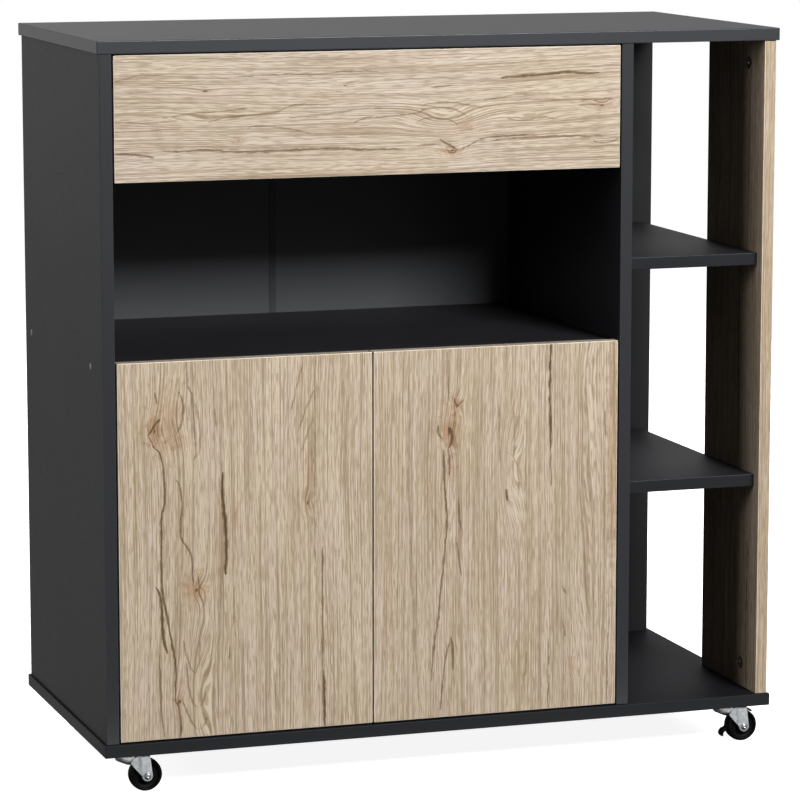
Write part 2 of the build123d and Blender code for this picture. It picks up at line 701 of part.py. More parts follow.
def hinge_plate_screws(face, side, z):
    """Two screws through the wings of a hinge plate."""
    y = DOOR_BACK + ARM_RISE + HINGE_PLATE_SETBACK + (HINGE_WING_NEAR + HINGE_WING_FAR) / 2
    base_x = face + side * (HINGE_PLATE + PLATE_HEAD)
    screws = []
    for up in (-1, 1):
        base = (base_x, y, z + up * HINGE_SCREW_HALF)
        head = rod(base, (-side, 0, 0), SMALL_HEAD_RADIUS, PLATE_HEAD)
        screws.append(head + rod(base, (-side, 0, 0), SCREW_RADIUS, HINGE_SCREW))
    return screws


def door_pieces():
    """Both doors with their cups, pins and screws."""
    shapes = {}
    height = (DOOR_LOW, DOOR_LOW + DOOR_HEIGHT)
    for name, edge, side, face in door_sides():
        width = sorted((edge, edge + side * DOOR_WIDTH))
        panel = board(width, (PANEL_FRONT, DOOR_BACK), height)
        cups = [hinge_cup(edge, side, z) for z in HINGE_HEIGHTS]
        pins = [hinge_pin(edge, side, z) for z in HINGE_HEIGHTS]
        screws = [one for z in HINGE_HEIGHTS for one in cup_screws(edge, side, z)]
        for z in HINGE_HEIGHTS:
            cup_x = edge + side * CUP_FROM_EDGE
            panel = panel - rod((cup_x, DOOR_BACK, z), flip(Y_AXIS), CUP_RADIUS, CUP_DEPTH)
        shapes[name + "_door_panel"] = drilled(panel, screws)
        shapes[name + "_hinge_cups"] = group([drilled(cup, screws) for cup in cups])
        shapes[name + "_hinge_pins"] = group(pins)
        shapes[name + "_cup_screws"] = group(screws)
    return shapes


# Casters

def caster_places():
    """Name, swivel axis X and Y, and whether the caster has a brake."""
    x = WIDTH / 2 - CASTER_INSET
    y = DEPTH / 2 - CASTER_INSET
    return (
        ("front_left", -x, -y, False),
        ("front_right", x, -y, True),
        ("rear_left", -x, y, False),
        ("rear_right", x, y, True),
    )


def plate_screws(x, y):
    """Four screws that hold a caster plate under the bottom board."""
    step = PLATE_SCREW_PITCH / 2
    low = CASTER_HEIGHT - PLATE_STEEL - LOW_HEAD
    screws = []
    for across in (-step, step):
        for along in (-step, step):
            base = (x + across, y + along, low)
            head = rod(base, Z_AXIS, PLATE_SCREW_HEAD_RADIUS, LOW_HEAD)
            screws.append(head + rod(base, Z_AXIS, SCREW_RADIUS, PLATE_SCREW))
    return screws


def caster_plate(x, y):
    """Square steel plate with rounded corners."""
    low = CASTER_HEIGHT - PLATE_STEEL
    half = PLATE_SIDE / 2
    plate = slab((x - half, x + half), (y - half, y + half), (low, CASTER_HEIGHT))
    return fillet(plate.edges().filter_by(Axis.Z), PLATE_CORNER)


def king_pin(x, y):
    """Rivet that the fork turns on, with its head under the fork."""
    low = FORK_UNDERSIDE - SWIVEL_CLEARANCE - KING_HEAD
    head = fillet(Cylinder(KING_HEAD_RADIUS, KING_HEAD).edges(), KING_HEAD_ROUND)
    head = Pos(x, y, low + KING_HEAD / 2) * head
    shank = rod((x, y, low), Z_AXIS, KING_PIN_RADIUS, CASTER_HEIGHT - low)
    return head + shank


def fork_dish(x, y):
    """Round dish on top of a fork, with a rim that rises to just under the plate."""
    floor = FORK_UNDERSIDE + FORK_STEEL
    rim = CASTER_HEIGHT - PLATE_STEEL - SWIVEL_CLEARANCE
    bore = KING_PIN_RADIUS + RUNNING_CLEARANCE
    rim_inner = FORK_DISH_RIM - FORK_RIM_EDGE
    profile = [
        (bore, FORK_UNDERSIDE), (FORK_DISH_FLAT, FORK_UNDERSIDE), (FORK_DISH_RIM, rim - FORK_RIM_EDGE),
        (FORK_DISH_RIM, rim), (rim_inner, rim), (FORK_DISH_FLAT - FORK_RIM_EDGE, floor), (bore, floor),
    ]
    face = Plane.XZ * make_face(Polyline(*profile, close=True))
    return Pos(x, y) * revolve(face, Axis.Z)


def fork(x, y):
    """Pressed fork: a dish that turns under the plate and two legs down to the axle."""
    shape = fork_dish(x, y)
    axle_x = x + CASTER_TRAIL
    corners = [
        (axle_x - FORK_EYE_RADIUS, WHEEL_RADIUS),
        (axle_x + FORK_EYE_RADIUS, WHEEL_RADIUS),
        (axle_x + FORK_TRAIL, FORK_LEG_TOP),
        (x - FORK_LEAD, FORK_LEG_TOP),
    ]
    leg = Polygon(*corners, align=None) + Pos(axle_x, WHEEL_RADIUS) * Circle(FORK_EYE_RADIUS)
    for front in (-1, 1):
        inner = y + front * FORK_GAP / 2
        outer = inner + front * FORK_STEEL
        shape += extrude(Plane.XZ.offset(-min(inner, outer)) * leg, -FORK_STEEL)
    return shape - rod((axle_x, y - DEPTH, WHEEL_RADIUS), Y_AXIS, AXLE_RADIUS, 2 * DEPTH)


def axle(x, y):
    """Axle bolt with a round head in front and a nut behind."""
    axle_x = x + CASTER_TRAIL
    half = FORK_GAP / 2 + FORK_STEEL
    shape = rod((axle_x, y - half, WHEEL_RADIUS), Y_AXIS, AXLE_RADIUS, 2 * half + AXLE_HEAD)
    head = rod((axle_x, y - half - AXLE_HEAD, WHEEL_RADIUS), Y_AXIS, AXLE_HEAD_RADIUS, AXLE_HEAD)
    head = fillet(head.edges().group_by(Axis.Y)[0], AXLE_HEAD_ROUND)
    nut_plane = Plane(origin=(axle_x, y + half, WHEEL_RADIUS), z_dir=Y_AXIS)
    nut = extrude(nut_plane * RegularPolygon(AXLE_HEAD_RADIUS, 6), AXLE_HEAD)
    return shape + head + nut


def wheel(x, y):
    """Solid wheel with a rounded tread, a dished side and a hub."""
    rim_half = WHEEL_WIDTH / 2
    hub_half = HUB_WIDTH / 2
    bore = AXLE_RADIUS + RUNNING_CLEARANCE
    profile = [
        (bore, -hub_half), (HUB_RADIUS, -hub_half), (HUB_RADIUS, -WEB_HALF), (WEB_RADIUS, -WEB_HALF),
        (RIM_RADIUS, -rim_half), (WHEEL_RADIUS, -rim_half), (WHEEL_RADIUS, rim_half), (RIM_RADIUS, rim_half),
        (WEB_RADIUS, WEB_HALF), (HUB_RADIUS, WEB_HALF), (HUB_RADIUS, hub_half), (bore, hub_half),
    ]
    face = Plane.XZ * make_face(Polyline(*profile, close=True))
    shape = revolve(face, Axis.Z)
    tread = shape.edges().filter_by(GeomType.CIRCLE).sort_by(lambda edge: edge.radius)[-2:]
    shape = fillet(tread, TREAD_ROUND)
    return Pos(x + CASTER_TRAIL, y, WHEEL_RADIUS) * Rot(90, 0, 0) * shape


def brake(x, y):
    """Foot brake: a narrow saddle on a yoke that rocks on the axle, with a hooked toe and a heel."""
    inner_half = FORK_GAP / 2 - BRAKE_SIDE_GAP
    arm_inner = inner_half - BRAKE_ARM

    def at(radius, angle):
        """A point at a radius and angle about the axle."""
        return (radius * cos(radians(angle)), radius * sin(radians(angle)))

    def band(inner, outer, start, end):
        """A piece of ring about the axle."""
        middle = (start + end) / 2
        outer_arc = ThreePointArc(at(outer, start), at(outer, middle), at(outer, end))
        inner_arc = ThreePointArc(at(inner, end), at(inner, middle), at(inner, start))
        sides = [Line(at(outer, end), at(inner, end)), Line(at(inner, start), at(outer, start))]
        return make_face([outer_arc, sides[0], inner_arc, sides[1]])

    def thick(face, half):
        """A flat outline thickened evenly about the wheel's middle."""
        return extrude(Plane.XZ * face, half, both=True)

    mid_skin = (BRAKE_INNER + BRAKE_OUTER) / 2
    toe_end = BRAKE_OUTER + BRAKE_TOE
    saddle = thick(band(BRAKE_INNER, BRAKE_OUTER, *SADDLE_SPAN), BRAKE_HALF)
    yoke = thick(band(BRAKE_INNER, BRAKE_OUTER, *YOKE_SPAN), inner_half)
    toe = thick(band(mid_skin, toe_end, *TOE_SPAN), BRAKE_HALF)
    tip = thick(band(toe_end - BRAKE_TIP, toe_end, *TIP_SPAN), BRAKE_HALF)
    heel = thick(band(BRAKE_INNER, BRAKE_OUTER + BRAKE_HEEL, *HEEL_SPAN), BRAKE_HALF)
    shape = saddle + yoke + toe + tip + heel
    arm_top = [at(mid_skin, angle) for angle in ARM_SPAN]
    outline = Polygon((-BRAKE_EYE, 0.0), (BRAKE_EYE, 0.0), *arm_top, align=None) + Circle(BRAKE_EYE)
    for front in (-1, 1):
        arm = extrude(Plane.XZ * outline, -BRAKE_ARM)
        base = arm_inner if front > 0 else -inner_half
        shape += Pos(0, base, 0) * arm
    bore = AXLE_RADIUS + RUNNING_CLEARANCE
    shape = shape - rod((0, -inner_half, 0), Y_AXIS, bore, 2 * inner_half)
    return Pos(x + CASTER_TRAIL, y, WHEEL_RADIUS) * shape


def caster_pieces():
    """Plates, king pins, screws, forks, axles, wheels and brakes."""
    shapes = {}
    pins = []
    screws = []
    for name, x, y, braked in caster_places():
        pin = king_pin(x, y)
        own_screws = plate_screws(x, y)
        pins.append(pin)
        screws += own_screws
        shapes["caster_plate_" + name] = drilled(caster_plate(x, y), own_screws + [pin])
        shapes["fork_" + name] = fork(x, y)
        shapes["axle_" + name] = axle(x, y)
        shapes["wheel_" + name] = wheel(x, y)
        if braked:
            shapes["brake_" + name] = brake(x, y)
    shapes["caster_king_pins"] = group(pins)
    shapes["caster_screws"] = group(screws)
    return shapes


def trolley():
    """Every piece of the trolley by name."""
    cams, bolts, dowels = board_joints()
    dowels = dowels + shelf_dowels()
    long_screws = niche_floor_screws()
    nails = back_nails()
    pins = shelf_pins()
    hinge_places = [(edge, side, face, z) for _, edge, side, face in door_sides() for z in HINGE_HEIGHTS]
    small_screws = rail_screws()
    for _, side, face, z in hinge_places:
        small_screws += hinge_plate_screws(face, side, z)
    casters = caster_pieces()
    plate_holes = list(casters["caster_screws"].solids())
    fixings = cams + bolts + dowels + long_screws + nails + pins + spare_pin_holes()
    fixings = fixings + small_screws + plate_holes
    outer_rails = [outer_rail(face, side) for face, side in runner_sides()]
    plates = [hinge_plate(face, side, z) for _, side, face, z in hinge_places]
    shapes = {}
    shapes.update(uprights(fixings))
    shapes.update(level_boards(fixings))
    shapes.update(back_of_bay(nails))
    shapes.update(drawer_pieces())
    shapes.update(door_pieces())
    shapes.update(casters)
    shapes["cam_locks"] = group(cams)
    shapes["cam_bolts"] = group(bolts)
    shapes["wood_dowels"] = group(dowels)
    shapes["niche_floor_screws"] = group(long_screws)
    shapes["back_panel_nails"] = group(nails)
    shapes["shelf_pins"] = group(pins)
    shapes["runner_outer_rails"] = group([drilled(rail, near(rail, small_screws)) for rail in outer_rails])
    shapes["runner_ball_cages"] = group([ball_cage(face, side) for face, side in runner_sides()])
    shapes["hinge_arms"] = group([hinge_arm(edge, side, face, z) for edge, side, face, z in hinge_places])
    shapes["hinge_base_plates"] = group([drilled(plate, near(plate, small_screws)) for plate in plates])
    shapes["hardware_screws"] = group(small_screws)
    return shapes


os.makedirs("parts", exist_ok=True)
for node, shape in trolley().items():
    export_step(shape, "parts/" + node + ".step")
    print(node, len(shape.solids()), "solids", round(shape.volume), "mm3")
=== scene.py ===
"""Kitchen trolley: a dark grey cabinet on casters, with oak-print doors, a drawer and an open side column."""

import json
import logging
import math
from dataclasses import dataclass, field
from enum import Enum
from typing import Any, Iterable, Sequence

import bmesh
import bpy
from mathutils import Matrix, Vector

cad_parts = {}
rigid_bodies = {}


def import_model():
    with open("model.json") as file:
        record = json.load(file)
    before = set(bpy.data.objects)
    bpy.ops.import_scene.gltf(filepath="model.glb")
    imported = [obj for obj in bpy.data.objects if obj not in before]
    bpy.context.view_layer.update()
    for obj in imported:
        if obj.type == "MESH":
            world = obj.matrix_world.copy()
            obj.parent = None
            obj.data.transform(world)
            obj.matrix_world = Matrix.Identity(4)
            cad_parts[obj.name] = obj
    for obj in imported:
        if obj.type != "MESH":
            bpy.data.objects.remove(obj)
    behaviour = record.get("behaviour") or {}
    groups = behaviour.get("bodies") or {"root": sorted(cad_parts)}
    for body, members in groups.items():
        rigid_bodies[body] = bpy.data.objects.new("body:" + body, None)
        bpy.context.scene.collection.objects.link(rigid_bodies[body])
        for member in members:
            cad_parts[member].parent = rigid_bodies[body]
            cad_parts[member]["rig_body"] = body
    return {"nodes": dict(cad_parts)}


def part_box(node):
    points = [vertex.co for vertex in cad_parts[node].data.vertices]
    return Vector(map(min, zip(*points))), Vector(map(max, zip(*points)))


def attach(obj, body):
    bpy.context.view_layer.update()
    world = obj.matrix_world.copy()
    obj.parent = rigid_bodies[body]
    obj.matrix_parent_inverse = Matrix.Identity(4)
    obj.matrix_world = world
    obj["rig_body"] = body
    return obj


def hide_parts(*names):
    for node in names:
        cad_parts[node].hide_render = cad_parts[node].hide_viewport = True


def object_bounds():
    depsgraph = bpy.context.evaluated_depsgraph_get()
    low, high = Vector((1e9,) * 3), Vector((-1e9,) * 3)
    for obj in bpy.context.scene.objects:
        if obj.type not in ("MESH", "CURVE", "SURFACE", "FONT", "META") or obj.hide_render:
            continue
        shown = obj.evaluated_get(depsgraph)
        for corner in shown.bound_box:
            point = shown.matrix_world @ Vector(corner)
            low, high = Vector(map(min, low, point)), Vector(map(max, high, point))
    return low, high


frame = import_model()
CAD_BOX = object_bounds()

LOG = logging.getLogger("trolley")
MM = 0.001
INVERSE_E = math.exp(-1.0)

Socket = bpy.types.NodeSocket
Tree = bpy.types.NodeTree
Colour = tuple[float, float, float, float]


# Small tools

def linear(colour: str) -> Colour:
    """Turn an sRGB hex colour into linear light.

    Args:
        colour: A value such as "#C9B79F".

    Returns:
        Red, green and blue in linear light, and an alpha of one.
    """
    shares = [int(colour[place:place + 2], 16) / 255 for place in (1, 3, 5)]
    light = [c / 12.92 if c <= 0.04045 else ((c + 0.055) / 1.055) ** 2.4 for c in shares]
    return (light[0], light[1], light[2], 1.0)


def add_node(
        tree: Tree, kind: str, inputs: dict[Any, Any] | None = None, out: int | str = 0,
        **settings: Any) -> Any:
    """Add a shader node with its settings and links.

    Args:
        tree: The tree that gets the node.
        kind: The node's type, without its ShaderNode prefix.
        inputs: A value or a socket to link for each named or numbered input.
        out: The output to hand back.
        **settings: Properties of the node.

    Returns:
        The chosen output socket, or the node where it has no outputs.
    """
    node = tree.nodes.new("ShaderNode" + kind)
    for name, value in settings.items():
        setattr(node, name, value)
    for name, value in (inputs or {}).items():
        if isinstance(value, Socket):
            tree.links.new(value, node.inputs[name])
        else:
            node.inputs[name].default_value = value
    return node.outputs[out] if len(node.outputs) else node


# Finishes

class Axis(Enum):
    """The direction that the wide faces of a board look along."""

    X = 0
    Y = 1
    Z = 2


class Grain(Enum):
    """How the printed grain runs on a board, as (along, across) coordinates."""

    UPRIGHT = ("Z", "X")
    LEVEL = ("X", "Z")
    SIDE = ("Z", "Y")


@dataclass(frozen=True)
class Finish:
    """A surface that is made once and shared by every piece that has it."""

    name: str

    def material(self) -> bpy.types.Material:
        """Make the material when it is first asked for, and find it again after that.

        Returns:
            The finished material.
        """
        found = bpy.data.materials.get(self.name)
        if found:
            return found
        made = bpy.data.materials.new(self.name)
        made.use_nodes = True
        made.node_tree.nodes.clear()
        surface = self.paint(made.node_tree)
        add_node(made.node_tree, "OutputMaterial", {"Surface": surface})
        return made

    def paint(self, tree: Tree) -> Socket:
        """Fill a tree with the nodes of the surface and hand back its shader."""
        raise NotImplementedError

    def place_mm(self, tree: Tree) -> Socket:
        """The place on the piece in millimetres, fixed to the piece as it moves."""
        spot = add_node(tree, "TexCoord", out="Object")
        return add_node(tree, "VectorMath", {0: spot, "Scale": 1 / MM}, operation="SCALE")


# How square a surface lies to the wide faces of its board where an arris, or an edge, begins and is complete.
ARRIS_RANGE = (0.99, 0.90)
EDGE_RANGE = (0.50, 0.20)


def edge_masks(tree: Tree, faces: Axis) -> tuple[Socket, Socket]:
    """Find the rounded arrises and the narrow edges of a board.

    Args:
        tree: The tree of the material.
        faces: The direction that the wide faces look along.

    Returns:
        A socket that is 1 on the arrises, and one that is 1 on the edges between them.
    """
    normal = add_node(tree, "TexCoord", out="Normal")
    parts = add_node(tree, "SeparateXYZ", {0: normal}).node
    flat = add_node(tree, "Math", {0: parts.outputs[faces.value]}, operation="ABSOLUTE")
    arris = add_node(tree, "MapRange", {0: flat, 1: ARRIS_RANGE[0], 2: ARRIS_RANGE[1]})
    edge = add_node(tree, "MapRange", {0: flat, 1: EDGE_RANGE[0], 2: EDGE_RANGE[1]})
    return arris, edge


@dataclass(frozen=True)
class GreyMelamine(Finish):
    """Melamine-faced chipboard, pressed against a finely pitted plate and edged with a plastic band.

    The eye sees a satin dark grey with a faint sparkle of pits, and a slightly bluer, smoother edge.
    """

    faces: Axis = Axis.Z
    face: str = "#242427"
    cloud: str = "#202023"
    band: str = "#2A2B2E"
    # Colour of the rounded arrises, lighter than the face: a painted highlight.
    wear_and_highlight: str = "#34363A"
    pit_mm: float = 1.4
    pit_depth: float = 0.08
    cloud_mm: float = 90.0
    roughness: float = 0.46
    band_roughness: float = 0.30
    gloss: float = 0.4

    def paint(self, tree: Tree) -> Socket:
        """Pits in relief, slow clouds of tone, a painted highlight on the arrises and a band on the edges.

        Args:
            tree: The tree of the material.

        Returns:
            The shader of the surface.
        """
        place = self.place_mm(tree)
        arris, edge = edge_masks(tree, self.faces)
        clouds = add_node(tree, "TexNoise", {"Vector": place, "Scale": 1 / self.cloud_mm, "Detail": 3.0})
        # The real pits are about 0.3 mm wide, and are drawn coarser so that they show.
        pits = add_node(tree, "TexNoise", {"Vector": place, "Scale": 1 / self.pit_mm, "Detail": 2.0})
        tone = add_node(tree, "MapRange", {0: clouds, 1: 0.35, 2: 0.65})
        colour = add_node(
            tree, "Mix", {0: tone, 6: linear(self.cloud), 7: linear(self.face)}, out=2, data_type="RGBA")
        # Painted highlight: the rounded arrises are mixed towards a lighter grey.
        colour = add_node(tree, "Mix", {0: arris, 6: colour, 7: linear(self.wear_and_highlight)}, out=2, data_type="RGBA")
        colour = add_node(tree, "Mix", {0: edge, 6: colour, 7: linear(self.band)}, out=2, data_type="RGBA")
        speck = add_node(
            tree, "MapRange", {0: pits, 1: 0.3, 2: 0.7, 3: self.roughness - 0.05, 4: self.roughness + 0.07})
        rough = add_node(tree, "Mix", {0: edge, 2: speck, 3: self.band_roughness})
        bump = add_node(tree, "Bump", {"Strength": 0.25, "Distance": self.pit_depth * MM, "Height": pits})
        return add_node(tree, "BsdfPrincipled", {
            "Base Color": colour, "Roughness": rough, "Normal": bump, "IOR": 1.5,
            "Specular IOR Level": self.gloss})


@dataclass(frozen=True)
class Knot:
    """A knot or a stain in the printed oak, in millimetres on the board.

    Swell is how far it lifts the grain, glow how red it is, and eye the share of its size that is dark.
    """

    along: float
    across: float
    length: float
    width: float
    swell: float = 0.0
    glow: float = 0.5
    eye: float = 0.0


@dataclass(frozen=True)
class Stroke:
    """A printed dark line that roughly follows the grain, as (along, across) points in millimetres."""

    width: float
    depth: float
    path: tuple[tuple[float, float], ...]


@dataclass(frozen=True)
class GrainLayer:
    """One size of streak in the printed oak, and how strongly it colours the wood."""

    width: float
    length: float
    detail: float
    low: float
    high: float
    colour: str
    weight: float


# Slow patches of hue first, then bands, growth lines, pale dashes and, last, the pores. Real pores are about
# 0.3 mm wide, and are drawn coarser so that they show.
OAK_LAYERS = (
    GrainLayer(75.0, 260.0, 1.0, 0.40, 0.60, "#BFAE92", 0.50),
    GrainLayer(20.0, 170.0, 1.0, 0.46, 0.62, "#C5B2A4", 0.60),
    GrainLayer(7.0, 240.0, 1.0, 0.50, 0.64, "#AC9980", 0.42),
    GrainLayer(3.2, 420.0, 1.0, 0.57, 0.65, "#84694A", 0.45),
    GrainLayer(1.25, 260.0, 1.0, 0.53, 0.60, "#7A6344", 0.52),
    GrainLayer(1.1, 90.0, 0.0, 0.54, 0.62, "#E2D5C2", 0.32),
    GrainLayer(0.8, 18.0, 0.0, 0.52, 0.60, "#846D4D", 0.48),
)


@dataclass(frozen=True)
class OakPrint(Finish):
    """Oak-printed melamine, pressed with shallow pores that follow the printed grain.

    The eye sees pale straight grain in dashes, brown cracks, knots with a reddish glow, and an edge band in
    which the grain is fainter. Wander holds the width, length and reach of the slow bends of the grain. Ink is
    the share of a stroke's depth that is printed.
    """

    grain: Grain = Grain.UPRIGHT
    faces: Axis = Axis.Y
    knots: tuple[Knot, ...] = ()
    strokes: tuple[Stroke, ...] = ()
    seed: float = 0.0
    base: str = "#C7B7A1"
    glow: str = "#DFC3A8"
    split: str = "#3A2810"
    stain: str = "#C4A06C"
    band: str = "#B7A68D"
    # Colour of the rounded arrises, paler than the face: a painted highlight.
    arris: str = "#E2D8C8"
    roughness: float = 0.50
    gloss: float = 0.30
    ink: float = 0.92
    band_share: float = 0.25
    pore_depth: float = 0.1
    blotch_mm: float = 7.0
    glow_reach: float = 1.3
    eye_depth: float = 0.85
    fray_width: float = 2.5
    fray_length: float = 9.0
    fray_reach: float = 0.7
    taper: float = 0.06
    end_reach: float = 1.1
    middle_reach: float = 1.7
    wander: tuple[tuple[float, float, float], ...] = ((150.0, 480.0, 9.0), (32.0, 150.0, 1.8))

    def paint(self, tree: Tree) -> Socket:
        """Bend the grain round the knots, lay the streaks over each other, draw the strokes and paint the
        arris highlight.

        Args:
            tree: The tree of the material.

        Returns:
            The shader of the surface.
        """
        place = self.place_mm(tree)
        parts = add_node(tree, "SeparateXYZ", {0: place}).node.outputs
        along, across = (parts[name] for name in self.grain.value)
        if self.grain is Grain.SIDE:
            across = add_node(tree, "Math", {0: across, 1: parts["X"]}, operation="SUBTRACT")
        squares = [self.distance_of(tree, knot, along, across) for knot in self.knots]
        growth = self.growth(tree, along, across, squares)
        colour, pores = self.streaks(tree, along, growth)
        colour = self.stroke_marks(tree, colour, along, across)
        colour = self.knot_marks(tree, colour, squares, place)
        arris, edge = edge_masks(tree, self.faces)
        banded = add_node(
            tree, "Mix", {0: self.band_share, 6: colour, 7: linear(self.band)}, out=2, data_type="RGBA")
        # Painted highlight: the rounded arrises are mixed towards a pale cream.
        colour = add_node(tree, "Mix", {0: arris, 6: colour, 7: linear(self.arris)}, out=2, data_type="RGBA")
        colour = add_node(tree, "Mix", {0: edge, 6: colour, 7: banded}, out=2, data_type="RGBA")
        rough = add_node(
            tree, "MapRange", {0: pores, 1: 0.3, 2: 0.7, 3: self.roughness - 0.04, 4: self.roughness + 0.1})
        bump = add_node(
            tree, "Bump", {"Strength": 0.3, "Distance": self.pore_depth * MM, "Height": pores}, invert=True)
        return add_node(tree, "BsdfPrincipled", {
            "Base Color": colour, "Roughness": rough, "Normal": bump, "IOR": 1.5,
            "Specular IOR Level": self.gloss})

    def grain_spot(self, tree: Tree, along: Socket, across: Socket, width: float, length: float) -> Socket:
        """A pattern coordinate that is one unit per streak width and one per streak length.

        Args:
            tree: The tree of the material.
            along: Millimetres along the grain.
            across: Millimetres across the grain.
            width: The width of a streak.
            length: The length of a streak.

        Returns:
            The coordinate, which differs from one board and one width to the next.
        """
        side = add_node(tree, "Math", {0: across, 1: 1 / width}, operation="MULTIPLY")
        run = add_node(tree, "Math", {0: along, 1: 1 / length}, operation="MULTIPLY")
        return add_node(tree, "CombineXYZ", {0: side, 1: run, 2: self.seed + width})

    def distance_of(self, tree: Tree, knot: Knot, along: Socket, across: Socket) -> Socket:
        """Measure how far a place lies from the middle of a knot.

        Args:
            tree: The tree of the material.
            knot: The knot.
            along: Millimetres along the grain.
            across: Millimetres across the grain.

        Returns:
            The squared distance, in units of the knot's size.
        """
        run = add_node(
            tree, "Math", {0: along, 1: 1 / knot.length, 2: -knot.along / knot.length},
            operation="MULTIPLY_ADD")
        side = add_node(
            tree, "Math", {0: across, 1: 1 / knot.width, 2: -knot.across / knot.width},
            operation="MULTIPLY_ADD")
        square = add_node(tree, "Math", {0: run, 1: run}, operation="MULTIPLY")
        return add_node(tree, "Math", {0: side, 1: side, 2: square}, operation="MULTIPLY_ADD")

    def growth(self, tree: Tree, along: Socket, across: Socket, squares: Sequence[Socket]) -> Socket:
        """The growth coordinate, whose contours are the grain lines.

        Args:
            tree: The tree of the material.
            along: Millimetres along the grain.
            across: Millimetres across the grain.
            squares: The squared distance from each knot.

        Returns:
            The across coordinate with a slow wander, lifted over the knots.
        """
        field_mm = across
        for width, length, reach in self.wander:
            spot = self.grain_spot(tree, along, across, width, length)
            noise = add_node(tree, "TexNoise", {"Vector": spot, "Scale": 1.0, "Detail": 0.0})
            shift = add_node(tree, "MapRange", {0: noise, 3: -reach, 4: reach})
            field_mm = add_node(tree, "Math", {0: field_mm, 1: shift}, operation="ADD")
        for knot, square in zip(self.knots, squares):
            if knot.swell:
                hill = add_node(tree, "Math", {0: INVERSE_E, 1: square}, operation="POWER")
                field_mm = add_node(
                    tree, "Math", {0: hill, 1: knot.swell, 2: field_mm}, operation="MULTIPLY_ADD")
        return field_mm

    def streaks(self, tree: Tree, along: Socket, growth: Socket) -> tuple[Socket, Socket]:
        """Lay each size of streak over the base colour.

        Args:
            tree: The tree of the material.
            along: Millimetres along the grain.
            growth: The growth coordinate, in millimetres.

        Returns:
            The colour, and the noise of the last layer, the pores.
        """
        colour: Any = linear(self.base)
        noise = growth
        for layer in OAK_LAYERS:
            spot = self.grain_spot(tree, along, growth, layer.width, layer.length)
            noise = add_node(tree, "TexNoise", {"Vector": spot, "Scale": 1.0, "Detail": layer.detail})
            share = add_node(tree, "MapRange", {0: noise, 1: layer.low, 2: layer.high, 4: layer.weight})
            colour = add_node(
                tree, "Mix", {0: share, 6: colour, 7: linear(layer.colour)}, out=2, data_type="RGBA")
        return colour, noise

    def knot_marks(self, tree: Tree, colour: Socket, squares: Sequence[Socket], place: Socket) -> Socket:
        """Redden the wood about each knot in ragged blotches, and darken its eye.

        Args:
            tree: The tree of the material.
            colour: The colour so far.
            squares: The squared distance from each knot.
            place: Millimetres on the piece.

        Returns:
            The colour with the knots in it.
        """
        blotch = add_node(tree, "TexNoise", {"Vector": place, "Scale": 1 / self.blotch_mm, "Detail": 3.0})
        ragged = add_node(tree, "MapRange", {0: blotch, 1: 0.35, 2: 0.65, 3: 0.35, 4: 2.2})
        for knot, square in zip(self.knots, squares):
            reach = add_node(tree, "Math", {0: square, 1: ragged}, operation="MULTIPLY")
            if knot.glow:
                red = add_node(
                    tree, "MapRange", {0: reach, 1: 0.0, 2: self.glow_reach, 3: knot.glow, 4: 0.0},
                    interpolation_type="SMOOTHSTEP")
                colour = add_node(
                    tree, "Mix", {0: red, 6: colour, 7: linear(self.glow)}, out=2, data_type="RGBA",
                    blend_type="MULTIPLY")
            if knot.eye:
                dark = add_node(
                    tree, "MapRange", {0: reach, 1: 0.0, 2: knot.eye ** 2, 3: self.eye_depth, 4: 0.0})
                colour = add_node(
                    tree, "Mix", {0: dark, 6: colour, 7: linear(self.split)}, out=2, data_type="RGBA")
        return colour

    def stroke_marks(self, tree: Tree, colour: Socket, along: Socket, across: Socket) -> Socket:
        """Draw each stroke as a frayed line that is widest in its middle.

        Args:
            tree: The tree of the material.
            colour: The colour so far.
            along: Millimetres along the grain.
            across: Millimetres across the grain.

        Returns:
            The colour with the strokes in it.
        """
        spot = self.grain_spot(tree, along, across, self.fray_width, self.fray_length)
        noise = add_node(tree, "TexNoise", {"Vector": spot, "Scale": 1.0, "Detail": 1.0})
        fray = add_node(
            tree, "MapRange", {0: noise, 1: 0.3, 2: 0.7, 3: -self.fray_reach, 4: self.fray_reach})
        frayed = add_node(tree, "Math", {0: across, 1: fray}, operation="ADD")
        darkest: Any = 0.0
        for stroke in self.strokes:
            first, last = stroke.path[0][0], stroke.path[-1][0]
            sides = [side for _, side in stroke.path]
            low, span = min(sides) - 1.0, max(sides) - min(sides) + 2.0
            share = add_node(tree, "MapRange", {0: along, 1: first, 2: last})
            points = [((run - first) / (last - first), (side - low) / span) for run, side in stroke.path]
            track = self.curve(tree, share, points)
            line = add_node(tree, "Math", {0: track, 1: span, 2: low}, operation="MULTIPLY_ADD")
            gap = add_node(tree, "Math", {0: frayed, 1: line}, operation="SUBTRACT")
            gap = add_node(tree, "Math", {0: gap}, operation="ABSOLUTE")
            end, middle = self.end_reach * stroke.width, self.middle_reach * stroke.width
            widths = [(0.0, 0.0), (self.taper, end), (0.5, middle), (1 - self.taper, end), (1.0, 0.0)]
            reach = self.curve(tree, share, widths)
            mark = add_node(
                tree, "MapRange", {0: gap, 1: 0.0, 2: reach, 3: self.ink * stroke.depth, 4: 0.0},
                interpolation_type="SMOOTHSTEP")
            darkest = add_node(tree, "Math", {0: darkest, 1: mark}, operation="MAXIMUM")
        # The wood in and beside a crack is stained, so that its faint ends are brown and not grey.
        colour = add_node(
            tree, "Mix", {0: darkest, 6: colour, 7: linear(self.stain)}, out=2, data_type="RGBA",
            blend_type="MULTIPLY")
        return add_node(tree, "Mix", {0: darkest, 6: colour, 7: linear(self.split)}, out=2, data_type="RGBA")

